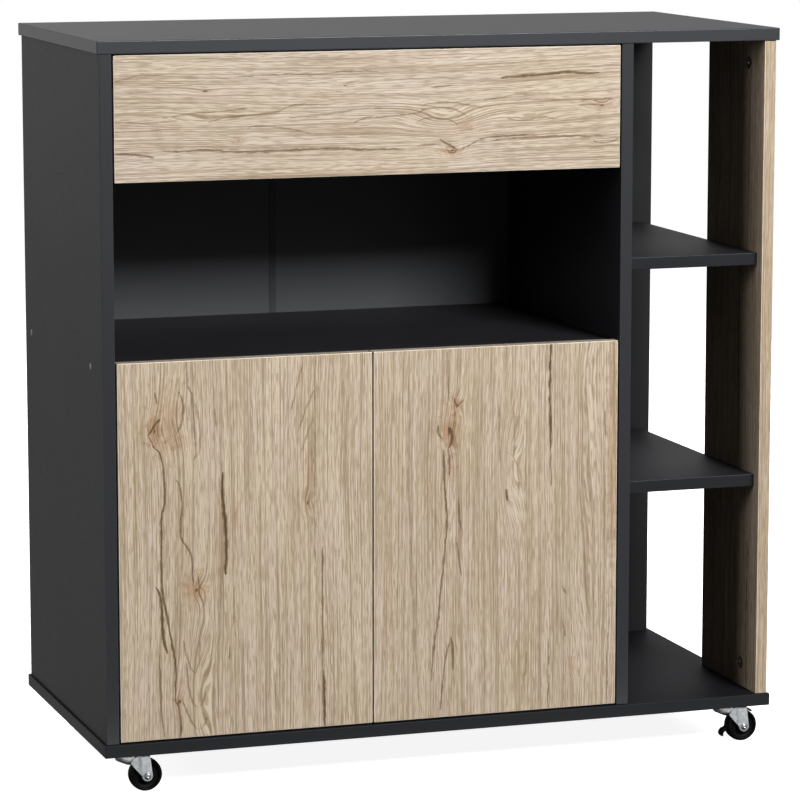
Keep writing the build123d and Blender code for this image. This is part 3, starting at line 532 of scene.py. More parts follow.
    def curve(self, tree: Tree, share: Socket, points: Sequence[tuple[float, float]]) -> Socket:
        """A smooth curve through points whose first lies at 0 and whose last lies at 1.

        Args:
            tree: The tree of the material.
            share: Where to read the curve.
            points: The points, in order.

        Returns:
            The height of the curve.
        """
        made = add_node(tree, "FloatCurve", {"Value": share})
        mapping = made.node.mapping
        mapping.use_clip = False
        line = mapping.curves[0]
        line.points[0].location = points[0]
        line.points[1].location = points[-1]
        for point in points[1:-1]:
            line.points.new(*point)
        mapping.update()
        return made


@dataclass(frozen=True)
class Hardboard(Finish):
    """Thin fibreboard, lacquered dark on its good side and left raw on the other.

    The eye sees an even satin grey from the front, and a matt brown felt of fibres with the print of a wire
    screen from behind.
    """

    good: str = "#494A4D"
    raw: str = "#8A6644"
    raw_dark: str = "#6E4F33"
    fibre_mm: float = 1.6
    screen_mm: float = 2.4
    screen_depth: float = 0.2
    good_side: float = -1.0
    good_axis: Axis = Axis.Y

    def paint(self, tree: Tree) -> Socket:
        """Lacquer on the good side, fibres and a screen print on the raw one.

        Args:
            tree: The tree of the material.

        Returns:
            The shader of the surface.
        """
        place = self.place_mm(tree)
        normal = add_node(tree, "TexCoord", out="Normal")
        outward = add_node(tree, "SeparateXYZ", {0: normal}).node.outputs[self.good_axis.value]
        good = add_node(tree, "MapRange", {0: outward, 1: 0.3 * self.good_side, 2: 0.7 * self.good_side})
        fibres = add_node(tree, "TexNoise", {"Vector": place, "Scale": 1 / self.fibre_mm, "Detail": 4.0})
        share = add_node(tree, "MapRange", {0: fibres, 1: 0.35, 2: 0.65})
        # The real wire screen is about 1 mm between wires, and is drawn coarser so that it shows.
        screen = add_node(
            tree, "TexVoronoi", {"Vector": place, "Scale": 1 / self.screen_mm, "Randomness": 0.1})
        brown = add_node(
            tree, "Mix", {0: share, 6: linear(self.raw_dark), 7: linear(self.raw)}, out=2, data_type="RGBA")
        colour = add_node(tree, "Mix", {0: good, 6: brown, 7: linear(self.good)}, out=2, data_type="RGBA")
        rough = add_node(tree, "MapRange", {0: good, 3: 0.85, 4: 0.42})
        depth = add_node(tree, "MapRange", {0: good, 3: 0.35, 4: 0.04})
        relief = add_node(tree, "Math", {0: screen, 1: fibres}, operation="ADD")
        bump = add_node(
            tree, "Bump", {"Strength": depth, "Distance": self.screen_depth * MM, "Height": relief})
        return add_node(tree, "BsdfPrincipled", {
            "Base Color": colour, "Roughness": rough, "Normal": bump, "IOR": 1.5, "Specular IOR Level": 0.2})


@dataclass(frozen=True)
class PlatedSteel(Finish):
    """Pressed steel under a thin plating of zinc or nickel.

    The eye sees a bright metal with faint drawing lines from the press and slightly cloudy patches in the
    plating.
    """

    bright: str = "#C9CCCE"
    dull: str = "#A6AAAD"
    cloud_mm: float = 5.0
    line_mm: float = 0.7
    roughness: float = 0.30
    line_depth: float = 0.05

    def paint(self, tree: Tree) -> Socket:
        """Clouds in the plating, fine lines in the gloss.

        Args:
            tree: The tree of the material.

        Returns:
            The shader of the surface.
        """
        place = self.place_mm(tree)
        clouds = add_node(tree, "TexNoise", {"Vector": place, "Scale": 1 / self.cloud_mm, "Detail": 4.0})
        share = add_node(tree, "MapRange", {0: clouds, 1: 0.35, 2: 0.65})
        colour = add_node(
            tree, "Mix", {0: share, 6: linear(self.dull), 7: linear(self.bright)}, out=2, data_type="RGBA")
        # Press lines are about 0.05 mm apart, and are drawn coarser so that they show.
        drawn = add_node(tree, "VectorMath", {0: place, 1: (1.0, 1.0, 0.12)}, operation="MULTIPLY")
        lines = add_node(tree, "TexNoise", {"Vector": drawn, "Scale": 1 / self.line_mm, "Detail": 2.0})
        rough = add_node(
            tree, "MapRange", {0: lines, 1: 0.3, 2: 0.7, 3: self.roughness - 0.06, 4: self.roughness + 0.12})
        bump = add_node(tree, "Bump", {"Strength": 0.12, "Distance": self.line_depth * MM, "Height": lines})
        return add_node(tree, "BsdfPrincipled", {
            "Base Color": colour, "Metallic": 1.0, "Roughness": rough, "Normal": bump})


@dataclass(frozen=True)
class CastZinc(Finish):
    """Die-cast zinc alloy, tumbled and left bare.

    The eye sees a dull blue-grey metal with a fine orange-peel skin from the die.
    """

    bright: str = "#9C9EA1"
    dull: str = "#7E8084"
    peel_mm: float = 0.9
    peel_depth: float = 0.1

    def paint(self, tree: Tree) -> Socket:
        """Orange-peel skin over a dull metal.

        Args:
            tree: The tree of the material.

        Returns:
            The shader of the surface.
        """
        place = self.place_mm(tree)
        peel = add_node(tree, "TexNoise", {"Vector": place, "Scale": 1 / self.peel_mm, "Detail": 3.0})
        share = add_node(tree, "MapRange", {0: peel, 1: 0.35, 2: 0.65})
        colour = add_node(
            tree, "Mix", {0: share, 6: linear(self.dull), 7: linear(self.bright)}, out=2, data_type="RGBA")
        bump = add_node(tree, "Bump", {"Strength": 0.3, "Distance": self.peel_depth * MM, "Height": peel})
        return add_node(tree, "BsdfPrincipled", {
            "Base Color": colour, "Metallic": 1.0, "Roughness": 0.45, "Normal": bump})


@dataclass(frozen=True)
class MouldedPlastic(Finish):
    """Injection-moulded polypropylene with a lightly sparked mould surface.

    The eye sees a deep satin black, with a soft highlight that breaks up on the fine texture.
    """

    face: str = "#0A0A0B"
    # Colour of the faint scuffs, which are real wear.
    wear_and_highlight: str = "#111113"
    spark_mm: float = 0.8
    roughness: float = 0.42
    gloss: float = 0.22
    spark_depth: float = 0.06
    scuff_mm: float = 8.333

    def paint(self, tree: Tree) -> Socket:
        """Fine sparks in relief, and faint scuffing.

        Args:
            tree: The tree of the material.

        Returns:
            The shader of the surface.
        """
        place = self.place_mm(tree)
        sparks = add_node(tree, "TexNoise", {"Vector": place, "Scale": 1 / self.spark_mm, "Detail": 3.0})
        scuffs = add_node(tree, "TexNoise", {"Vector": place, "Scale": 1 / self.scuff_mm, "Detail": 5.0})
        share = add_node(tree, "MapRange", {0: scuffs, 1: 0.45, 2: 0.7})
        colour = add_node(
            tree, "Mix", {0: share, 6: linear(self.face), 7: linear(self.wear_and_highlight)}, out=2, data_type="RGBA")
        rough = add_node(
            tree, "MapRange", {0: scuffs, 1: 0.3, 2: 0.7, 3: self.roughness - 0.05, 4: self.roughness + 0.12})
        bump = add_node(tree, "Bump", {"Strength": 0.2, "Distance": self.spark_depth * MM, "Height": sparks})
        return add_node(tree, "BsdfPrincipled", {
            "Base Color": colour, "Roughness": rough, "Normal": bump, "IOR": 1.49,
            "Specular IOR Level": self.gloss})


@dataclass(frozen=True)
class FlutedBeech(Finish):
    """Beech dowel rod, turned and pressed with flutes.

    The eye sees a pale pinkish wood with short dark flecks.
    """

    pale: str = "#D3AE85"
    fleck: str = "#A77C55"
    fleck_mm: float = 0.9

    def paint(self, tree: Tree) -> Socket:
        """Short flecks over a pale ground.

        Args:
            tree: The tree of the material.

        Returns:
            The shader of the surface.
        """
        place = self.place_mm(tree)
        flecks = add_node(tree, "TexNoise", {"Vector": place, "Scale": 1 / self.fleck_mm, "Detail": 2.0})
        share = add_node(tree, "MapRange", {0: flecks, 1: 0.5, 2: 0.68})
        colour = add_node(
            tree, "Mix", {0: share, 6: linear(self.pale), 7: linear(self.fleck)}, out=2, data_type="RGBA")
        return add_node(tree, "BsdfPrincipled", {"Base Color": colour, "Roughness": 0.7, "IOR": 1.5})


# One grey melamine in five copies. Apart from the side their band lies on, their colours are painted light and
# shade:
# the top's band is lighter, a painted highlight; shelves, uprights, bottom and column back are darker in face
# or band, painted shade.
TOP_GREY = GreyMelamine("melamine_grey_pressed_top_painted_light", Axis.Z, band="#303236")
SHELF_GREY = GreyMelamine(
    "melamine_grey_pressed_shelf_painted_shade", Axis.Z, band="#212225", wear_and_highlight="#26272A", roughness=0.56, gloss=0.28)
UPRIGHT_GREY = GreyMelamine("melamine_grey_pressed_upright_painted_shade", Axis.X, "#202023", "#1C1C1F")
BOTTOM_GREY = GreyMelamine(
    "melamine_grey_pressed_bottom_painted_shade", Axis.Z, "#1C1C1F", "#18181B", "#202124", "#26272A", roughness=0.56,
    gloss=0.10)
REAR_GREY = GreyMelamine(
    "melamine_grey_pressed_rear_painted_shade", Axis.Y, "#19191B", "#161618", roughness=0.56, gloss=0.25)
BACK_HARDBOARD = Hardboard("hardboard_lacquered_back")
DRAWER_HARDBOARD = Hardboard("hardboard_lacquered_drawer", good_side=1.0, good_axis=Axis.Z)
GREY_STRIP = MouldedPlastic("polyvinyl_extruded_grey", "#35363A", "#3B3C40", 0.9, 0.42)
BLACK_PLASTIC = MouldedPlastic("polypropylene_moulded_black", "#070708", "#0C0C0D", gloss=0.10)
ZINC_STEEL = PlatedSteel("steel_pressed_zinc_plated", "#D9DCDE", "#BBBFC2", roughness=0.38)
BRIGHT_ZINC = PlatedSteel("steel_turned_zinc_plated")
NICKEL_STEEL = PlatedSteel("steel_pressed_nickel_plated", "#CFC9C0", "#B3ADA4", 6.0, 0.6, 0.24)
CAST_ZINC = CastZinc("zinc_die_cast")
BEECH = FlutedBeech("beech_fluted_dowel")

LEFT_DOOR_OAK = OakPrint(
    "melamine_oak_printed_left_door", Grain.UPRIGHT, Axis.Y,
    knots=(
        Knot(438, -361, 24, 11, 9, 0.62, 0.18),
        Knot(456, -338, 38, 15, 9, 0.16),
        Knot(425, -330, 12, 18, 0, 0.40),
        Knot(246, -312, 16, 15, 9, 0.60, 0.16),
        Knot(128, -334, 26, 7, 5, 0.40),
        Knot(114, -334, 9, 7, 5, 0.35, 0.30),
        Knot(342, -174.7, 15, 6, 5, 0.35, 0.28),
        Knot(374, -173, 36, 6, 0, 0.40),
        Knot(333, -264, 24, 8, 0, 0.35),
        Knot(120, -311, 90, 15, 16, 0.0),
        Knot(448, -350, 52, 26, 0, 0.34),
        Knot(246, -316, 34, 22, 0, 0.28),
    ),
    strokes=(
        Stroke(1.5, 0.78, (
            (433, -368), (420, -362), (408, -353.6), (390, -350.6), (353, -349.6), (338, -353), (301, -353.7),
            (259, -354), (217, -347.7), (188, -342.8), (145, -337.8), (119, -338.6), (111, -337.4))),
        Stroke(1.9, 0.85, ((253, -360.7), (239, -355.3), (218, -353.8), (198, -352.8), (172, -348.2))),
        Stroke(1.1, 0.50, ((173, -357.8), (146, -356.8), (115, -356.2), (71, -351.9))),
        Stroke(1.6, 0.75, ((113, -337.6), (99, -333.4), (86, -332.2), (67, -332.8))),
        Stroke(1.6, 0.70, ((433, -368.5), (442, -362.5), (452, -354.5))),
        Stroke(1.2, 0.50, ((484, -360.5), (470, -357.5))),
        Stroke(1.2, 0.62, (
            (380, -337.6), (368, -330.6), (346, -328.6), (315, -330.6), (297, -321.6), (279, -316.6),
            (250, -316.2))),
        Stroke(1.3, 0.50, ((484, -332.5), (469, -326.5), (451, -327.1), (438, -331.5), (431, -340))),
        Stroke(1.2, 0.45, (
            (519, -322.4), (494, -321.4), (476, -314.8), (455, -313.8), (423, -311.4), (412, -311),
            (401, -316))),
        Stroke(1.0, 0.36, ((468, -311.4), (423, -306), (404, -312.5))),
        Stroke(2.2, 0.95, ((386, -277.2), (367, -279.2), (343, -277.8), (306, -275.2), (262, -276.4))),
        Stroke(1.1, 0.45, ((461, -287.2), (440, -286.8))),
        Stroke(1.0, 0.38, ((522, -165), (447, -165.6), (368, -166), (268, -165.5))),
        Stroke(1.2, 0.58, ((290, -155.8), (210, -156.9), (135, -155.9))),
        Stroke(1.7, 0.82, ((140, -155.8), (102, -154.8), (66, -154.2))),
        Stroke(1.1, 0.38, ((511, -179.4), (482, -187.6), (455, -193.7))),
        Stroke(1.1, 0.38, ((477, -166), (452, -177.3), (427, -186.6))),
        Stroke(1.0, 0.34, ((443, -167), (424, -175.3), (405, -181.5))),
        Stroke(1.2, 0.42, ((187, -327.7), (159, -321.7), (146, -314.3))),
        Stroke(1.1, 0.38, ((185, -308.2), (160, -309.6), (146, -314.3))),
        Stroke(1.2, 0.45, ((160, -324.5), (118, -319.7), (105, -311.7))),
        Stroke(1.1, 0.40, ((124, -302), (109, -305.6), (105, -311.7))),
        Stroke(1.2, 0.45, ((113, -329.8), (96, -322.8), (84, -316.7), (78, -311.2))),
        Stroke(1.1, 0.40, ((92, -300.6), (82, -304.6), (78, -311.2))),
        Stroke(1.0, 0.36, ((268, -310), (250, -307.5), (242, -301), (223, -306.6))),
        Stroke(1.1, 0.32, ((247, -265), (212, -266), (186, -264))),
        Stroke(1.1, 0.34, ((140, -217.4), (106, -215.3), (92, -215))),
        Stroke(1.0, 0.45, ((176, -271.5), (160, -272.5))),
    ),
    seed=3.0)

RIGHT_DOOR_OAK = OakPrint(
    "melamine_oak_printed_right_door", Grain.UPRIGHT, Axis.Y,
    knots=(
        Knot(418, 3, 26, 12, 9, 0.60, 0.20),
        Knot(450, 13, 13, 8, 6, 0.50, 0.14),
        Knot(372, 7, 24, 6, 0, 0.32),
        Knot(335, 77, 13, 5, 6, 0.20, 0.30),
        Knot(370, 82, 60, 13, 14, 0.0),
        Knot(478, 174, 70, 16, 11, 0.0),
        Knot(358, 172, 70, 16, 11, 0.0),
        Knot(230, 168, 80, 15, 9, 0.0),
        Knot(121, 162, 14, 7, 4, 0.40),
        Knot(390, 213, 190, 8, 0, 0.50),
        Knot(215, -72, 120, 8, 0, 0.25),
        Knot(425, 5, 44, 18, 0, 0.26),
    ),
    strokes=(
        Stroke(1.8, 0.22, (
            (514, -48.8), (437, -47.7), (361, -48.7), (299, -46), (203, -42.7), (126, -37.7), (75, -35))),
        Stroke(1.6, 0.60, ((427, -11), (414, -9.5), (410, 0))),
        Stroke(1.9, 0.68, ((424, 2.6), (412, 5.8), (398, 1.6))),
        Stroke(1.3, 0.60, ((458, 8.7), (447, 12))),
        Stroke(1.3, 0.60, ((457, 20.5), (447, 12))),
        Stroke(1.1, 0.36, ((515, 0.6), (483, 0.6), (454, 3))),
        Stroke(1.3, 0.58, ((399, 1.6), (383, 2.7), (366, 3.5))),
        Stroke(1.4, 0.72, ((397, -4.4), (366, -3.4), (339, -1.8), (310, 0.2), (288, -0.6))),
        Stroke(1.4, 0.62, (
            (297, -0.8), (267, -3.4), (246, -5), (232, -7.4), (189, -11), (166, -15.5), (143, -17.5),
            (114, -20.3))),
        Stroke(1.2, 0.52, ((338, 14.8), (319, 15.2), (297, 18.3))),
        Stroke(1.1, 0.45, ((284, 11.8), (270, 14.8), (242, 18.3))),
        Stroke(1.4, 0.62, ((168, 5.7), (149, 7.8), (126, 8))),
        Stroke(1.2, 0.52, ((163, 4.3), (142, -1.4), (119, -4.4), (95, -6.4), (78, -8.6))),
        Stroke(1.5, 0.85, ((524, 132.2), (467, 131.2), (416, 132.3), (386, 132.4))),
        Stroke(1.1, 0.45, ((390, 132.3), (345, 133.3))),
        Stroke(1.1, 0.50, ((158, 131.8), (133, 131), (104, 131), (66, 130.8))),
        Stroke(1.0, 0.30, ((451, 66.6), (408, 66.4), (373, 69))),
        Stroke(1.0, 0.30, ((440, 85), (411, 85.7), (384, 85))),
        Stroke(1.0, 0.34, ((389, 78), (376, 88), (357, 91.6), (333, 90.6))),
        Stroke(1.5, 0.70, ((345, 75.6), (330, 77.6))),
        Stroke(1.0, 0.32, ((143, 103), (119, 101.6), (97, 97.7), (76, 97.7))),
        Stroke(1.2, 0.50, ((434, 202), (403, 203.7))),
        Stroke(1.2, 0.45, ((179, 149), (157, 153.5))),
        Stroke(1.1, 0.42, ((221, 148.5), (210, 154))),
        Stroke(1.1, 0.42, ((160, 209), (110, 208), (66, 207.5))),
    ),
    seed=11.0, base="#C0B09B")

DRAWER_OAK = OakPrint(
    "melamine_oak_printed_drawer", Grain.LEVEL, Axis.Y,
    knots=(
        Knot(-296, 831.8, 20, 5, 3, 0.30, 0.22),
        Knot(-127, 834.5, 18, 4.5, 3, 0.30, 0.22),
        Knot(-257, 773.7, 10, 5, 3, 0.35, 0.22),
        Knot(6, 755, 17, 8, 6, 0.62, 0.20),
        Knot(-2, 790, 44, 17, 16, 0.12),
        Knot(20, 784, 14, 14, 0, 0.28),
        Knot(196, 804, 18, 7, 6, 0.45, 0.20),
        Knot(-300, 797, 70, 8, 8, 0.0),
        Knot(105, 790, 40, 6, 6, 0.0),
    ),
    strokes=(
        Stroke(1.0, 0.50, (
            (-262, 847.5), (-230, 848.5), (-190, 849.3), (-158, 848.6), (-139, 850.3), (-123, 851.3),
            (-85, 850))),
        Stroke(1.4, 0.74, (
            (-350, 765), (-323, 763.5), (-295, 763.9), (-274, 762), (-252, 760.7), (-192, 760.9),
            (-164, 761.7), (-131, 761), (-97, 758.8), (-52, 758.7))),
        Stroke(1.5, 0.80, ((-410, 762.2), (-393, 761.4), (-382, 761), (-358, 756.6))),
        Stroke(1.0, 0.46, ((-348, 800.6), (-339, 803.6), (-323, 805), (-305, 807), (-281, 808), (-245, 811))),
        Stroke(1.0, 0.40, ((-392, 798.3), (-368, 797.4), (-346, 797.7), (-329, 801))),
        Stroke(1.0, 0.46, (
            (-294, 795.6), (-279, 799.2), (-258, 802), (-230, 803.7), (-210, 806), (-190, 813),
            (-155, 813.6))),
        Stroke(1.0, 0.42, ((-196, 798.7), (-170, 800.2), (-131, 804), (-95, 808))),
        Stroke(1.0, 0.42, ((-117, 790.6), (-109, 793.8), (-93, 798))),
        Stroke(1.0, 0.40, ((-246, 787), (-236, 789.8), (-218, 788.6), (-200, 786.6), (-168, 779.6))),
        Stroke(0.9, 0.36, ((-405, 787), (-378, 787.5), (-346, 788.6), (-325, 786.6))),
        Stroke(0.9, 0.36, ((-405, 845), (-387, 848.6), (-376, 851.7), (-345, 851.5))),
        Stroke(0.9, 0.34, ((-405, 831.8), (-380, 831.7), (-350, 833.6))),
        Stroke(1.7, 0.90, (
            (66, 839.3), (84, 840.5), (105, 841.6), (123, 842.2), (138, 843.8), (151, 844.5), (174, 842.4),
            (192, 842.7))),
        Stroke(1.1, 0.50, ((-21, 829), (-10, 831), (5, 831.8))),
        Stroke(1.1, 0.48, (
            (-105, 795.6), (-81, 796.9), (-55, 798.5), (-36, 801), (-30, 804), (-14, 805.8), (1, 805.3),
            (13, 801.7), (21, 797.5), (27, 789))),
        Stroke(1.1, 0.46, ((-39, 785.6), (-34, 792), (-20, 794), (-3, 792.3), (7, 789), (14, 781))),
        Stroke(1.0, 0.42, ((-34, 808), (-20, 811.3), (1, 811.7), (21, 809.3), (38, 806), (46, 800))),
        Stroke(1.4, 0.75, ((-10, 768.6), (1, 762), (13, 755))),
        Stroke(1.3, 0.60, ((-2, 760.6), (5, 752), (12, 756))),
        Stroke(1.2, 0.58, ((15, 754.6), (26, 760.3), (38, 765.8), (50, 769.4), (69, 770.2), (102, 771.4))),
        Stroke(1.2, 0.62, ((53, 765), (84, 767.5), (115, 768.2), (147, 768), (189, 767.5), (222, 769.4))),
        Stroke(1.0, 0.50, ((184, 763), (197, 758.8), (219, 765.6))),
        Stroke(1.0, 0.42, ((-38, 760.6), (-26, 762.7), (-11, 762.2))),
        Stroke(1.0, 0.44, ((74, 794), (80, 789.6), (96, 788.3), (115, 791.2), (128, 790.9), (135, 788))),
        Stroke(1.1, 0.48, ((165, 804.6), (189, 805), (196, 802.6))),
        Stroke(1.0, 0.44, ((168, 809), (184, 811.7), (199, 811.8), (213, 809))),
        Stroke(0.9, 0.38, ((44, 813.3), (69, 816), (84, 819.5), (118, 820.8))),
        Stroke(0.9, 0.36, ((66, 812), (105, 813), (160, 809.6))),
    ),
    seed=23.0, base="#C3B6A7", ink=0.78)

SIDE_OAK = OakPrint(
    "melamine_oak_printed_side", Grain.SIDE, Axis.X,
    knots=(
        Knot(600, -540, 22, 10, 9, 0.55, 0.20),
        Knot(240, -575, 18, 8, 7, 0.40, 0.22),
        Knot(720, -480, 80, 16, 11, 0.0),
        Knot(400, -482, 70, 16, 10, 0.0),
    ),
    strokes=(
        Stroke(1.5, 0.75, ((592, -541), (520, -536), (440, -539), (350, -543))),
        Stroke(1.1, 0.40, ((868, -500), (700, -501), (560, -500))),
        Stroke(1.4, 0.62, ((232, -576), (160, -571), (75, -573))),
        Stroke(1.4, 0.60, ((611, -546), (602, -540), (594, -534))),
        Stroke(1.1, 0.36, ((860, -565), (740, -562), (650, -566))),
    ),
    seed=37.0, base="#B5A48E", band="#9C8A70", gloss=0.12)


# Mesh tools, in millimetres

JOIN_GAP = 0.0005
WELD_GAP = 0.004
FLAT_TURN = 0.6


def gentle(value: float) -> float:
    """A share from 0 to 1 that starts and ends gently."""
    share = min(max(value, 0.0), 1.0)
    return share * share * (3 - 2 * share)


def span_of(points: Sequence[Vector]) -> tuple[Vector, Vector]:
    """The low and high corners of the box about some points."""
    return tuple(Vector(end(p[axis] for p in points) for axis in range(3)) for end in (min, max))


def facing(direction: Vector, place: Vector) -> Matrix:
    """A frame at a place, whose local Z looks along a direction."""
    return Matrix.Translation(place) @ direction.to_track_quat("Z", "Y").to_matrix().to_4x4()


def lofted(
        form: bmesh.types.BMesh, rows: Sequence[Sequence[Vector]], ring: bool = False,
        tube: bool = False) -> None:
    """Add a skin of quads through rows of points.

    Args:
        form: The mesh that gets the skin.
        rows: Rows with the same number of points.
        ring: Whether the last row joins the first.
        tube: Whether the last point of a row joins its first.
    """
    made = [[form.verts.new(point) for point in row] for row in rows]
    count = len(rows[0])
    for place in range(len(rows) if ring else len(rows) - 1):
        near, far = made[place], made[(place + 1) % len(rows)]
        for step in range(count if tube else count - 1):
            after = (step + 1) % count
            form.faces.new((near[step], near[after], far[after], far[step]))


def turned(
        form: bmesh.types.BMesh, profile: Sequence[tuple[float, float]], place: Matrix, steps: int) -> None:
    """Add a turned shape.

    Args:
        form: The mesh that gets the shape.
        profile: Radius and height points, from one end to the other.
        place: Where the turning axis, local Z, goes.
        steps: How many flats go round.
    """
    rows = []
    for step in range(steps):
        angle = 2 * math.pi * step / steps
        rows.append([place @ Vector((r * math.cos(angle), r * math.sin(angle), h)) for r, h in profile])
    lofted(form, rows, ring=True)


def prism(
        form: bmesh.types.BMesh, outline: Sequence[tuple[float, float]], low: float, high: float,
        place: Matrix) -> None:
    """Add a straight-sided shape on a flat outline.

    Args:
        form: The mesh that gets the shape.
        outline: X and Y points of the outline, in order.
        low: Height of the lower face.
        high: Height of the upper face.
        place: Where the shape's own frame goes.
    """
    rows = [[place @ Vector((x, y, z)) for x, y in outline] for z in (low, high)]
    made = [[form.verts.new(point) for point in row] for row in rows]
    form.faces.new(made[0][::-1])
    form.faces.new(made[1])
    for step in range(len(outline)):
        after = (step + 1) % len(outline)
        form.faces.new((made[0][step], made[0][after], made[1][after], made[1][step]))


def eased(form: bmesh.types.BMesh, radius: float, limit: float = 35.0, segments: int = 2) -> None:
    """Round every edge that turns more sharply than a limit.

    Args:
        form: The mesh to round.
        radius: The size of the rounding.
        limit: Least turn in degrees that is rounded.
        segments: How many flats make the rounding.
    """
    form.normal_update()
    turn = math.radians(limit)
    sharp = [edge for edge in form.edges if len(edge.link_faces) == 2 and edge.calc_face_angle(0.0) > turn]
    bmesh.ops.bevel(
        form, geom=sharp, offset=radius, segments=segments, profile=0.5, affect="EDGES", clamp_overlap=True)


def merged(form: bmesh.types.BMesh, extra: bmesh.types.BMesh) -> None:
    """Move one mesh into another.

    Args:
        form: The mesh that grows.
        extra: The mesh that is used up.
    """
    spare = bpy.data.meshes.new("spare")
    extra.to_mesh(spare)
    extra.free()
    form.from_mesh(spare)
    bpy.data.meshes.remove(spare)


def from_node(node: str) -> bmesh.types.BMesh:
    """A working copy of a solid's mesh in millimetres, with flat faces made whole.

    Args:
        node: The solid's name.

    Returns:
        The copy, whose vertices are joined.
    """
    form = bmesh.new()
    form.from_mesh(frame["nodes"][node].data)
    bmesh.ops.scale(form, vec=(1 / MM,) * 3, verts=form.verts)
    bmesh.ops.remove_doubles(form, verts=form.verts, dist=WELD_GAP)
    bmesh.ops.dissolve_limit(form, angle_limit=math.radians(FLAT_TURN), verts=form.verts, edges=form.edges)
    return form


def islands(node: str) -> list[list[Vector]]:
    """The separate solids of a node.

    Args:
        node: The node's name.

    Returns:
        The points of each solid, in millimetres.
    """
    form = from_node(node)
    left = set(form.verts)
    found = []
    while left:
        reach = [left.pop()]
        points = []
        while reach:
            vert = reach.pop()
            points.append(vert.co.copy())
            fresh = {edge.other_vert(vert) for edge in vert.link_edges} & left
            left -= fresh
            reach.extend(fresh)
        found.append(points)
    form.free()
    return sorted(found, key=lambda points: tuple(round(c, 1) for c in sum(points, Vector()) / len(points)))


def to_piece(form: bmesh.types.BMesh, node: str, ending: str, finish: Finish, smooth: float = 32.0) -> None:
    """Turn a mesh in millimetres into a piece of the trolley that stands for a solid.

    Args:
        form: The mesh, which is used up.
        node: The solid's name.
        ending: What the piece's name adds to it.
        finish: How its surface looks.
        smooth: Turns sharper than this many degrees stay crisp.
    """
    name, body = node + ending, body_of(node)
    bmesh.ops.remove_doubles(form, verts=form.verts, dist=JOIN_GAP)
    bmesh.ops.recalc_face_normals(form, faces=form.faces)
    bmesh.ops.scale(form, vec=(MM,) * 3, verts=form.verts)
    mesh = bpy.data.meshes.new(name)
    form.to_mesh(mesh)
    form.free()
    mesh.shade_smooth()
    mesh.set_sharp_from_angle(angle=math.radians(smooth))
    mesh.materials.append(finish.material())
    piece = bpy.data.objects.new(name, mesh)
    bpy.context.scene.collection.objects.link(piece)
    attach(piece, body)
    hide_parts(node)
    LOG.info("%s rides on %s", name, body)


def dress(nodes: Iterable[str], finish: Finish) -> None:
    """Give solids that are shown as they are their finish.

    Args:
        nodes: The names of the solids.
        finish: How their surface looks.
    """
    for node in nodes:
        slots = frame["nodes"][node].data.materials
        slots.clear()
        slots.append(finish.material())
        LOG.info("%s is dressed in %s", node, finish.name)


def body_of(node: str) -> str:
    """The body that carries a solid."""
    return frame["nodes"][node]["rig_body"]


def softened(node: str, finish: Finish, radius: float, limit: float = 35.0) -> None:
    """Replace a solid by one with eased edges.

    Args:
        node: The solid's name.
        finish: How its surface looks.
        radius: The size of the easing, in millimetres.
        limit: Least turn in degrees that is eased.
    """
    form = from_node(node)
    eased(form, radius, limit)
    to_piece(form, node, "_eased", finish)


# Sub-assemblies

@dataclass
class Cabinet:
    """The fixed boards: top, bottom, uprights, shelves and the thin back."""

    level: tuple[str, ...] = ("niche_floor", "inner_shelf", "lower_column_shelf", "upper_column_shelf")
    upright: tuple[str, ...] = ("left_side_panel", "partition_panel")
    rear: tuple[str, ...] = ("column_back_board",)
    thin: tuple[str, ...] = ("back_panel_left", "back_panel_right")

    def dress(self) -> None:
        """Give each board the melamine with its edge band on the narrow sides and its painted light or shade.
        """
        dress(["top_board"], TOP_GREY)
        dress(["bottom_board"], BOTTOM_GREY)
        dress(self.level, SHELF_GREY)
        dress(self.upright, UPRIGHT_GREY)
        dress(self.rear, REAR_GREY)
        dress(self.thin, BACK_HARDBOARD)
        dress(["oak_side_panel"], SIDE_OAK)
        dress(["back_joining_strip"], GREY_STRIP)


@dataclass
class Drawer:
    """The drawer: printed front, grey box and a thin bottom."""

    sides: tuple[str, ...] = ("drawer_left_side", "drawer_right_side")
    rail_edge: float = 0.35

    def dress(self) -> None:
        """Dress the boards of the box and its front."""
        dress(["drawer_front"], DRAWER_OAK)
        dress(self.sides, UPRIGHT_GREY)
        dress(["drawer_back"], REAR_GREY)
        dress(["drawer_bottom"], DRAWER_HARDBOARD)
        dress(["drawer_dowels"], BEECH)

    def build(self) -> None:
        """Ease the edges of the rolled rails and cages."""
        for node in ("runner_inner_rails", "runner_outer_rails", "runner_ball_cages"):
            softened(node, ZINC_STEEL, self.rail_edge)


@dataclass
class Doors:
    """The two doors and their concealed hinges."""

    arm_edge: float = 0.5
    cup_edge: float = 0.25
    cup_turn: float = 50.0

    def dress(self) -> None:
        """Dress the printed doors."""
        dress(["left_door_panel"], LEFT_DOOR_OAK)
        dress(["right_door_panel"], RIGHT_DOOR_OAK)
        dress(["left_hinge_pins", "right_hinge_pins"], NICKEL_STEEL)

    def build(self) -> None:
        """Ease the edges of the hinge parts."""
        softened("hinge_arms", NICKEL_STEEL, self.arm_edge)
        softened("hinge_base_plates", NICKEL_STEEL, self.arm_edge)
        for side in ("left", "right"):
            softened(side + "_hinge_cups", NICKEL_STEEL, self.cup_edge, self.cup_turn)


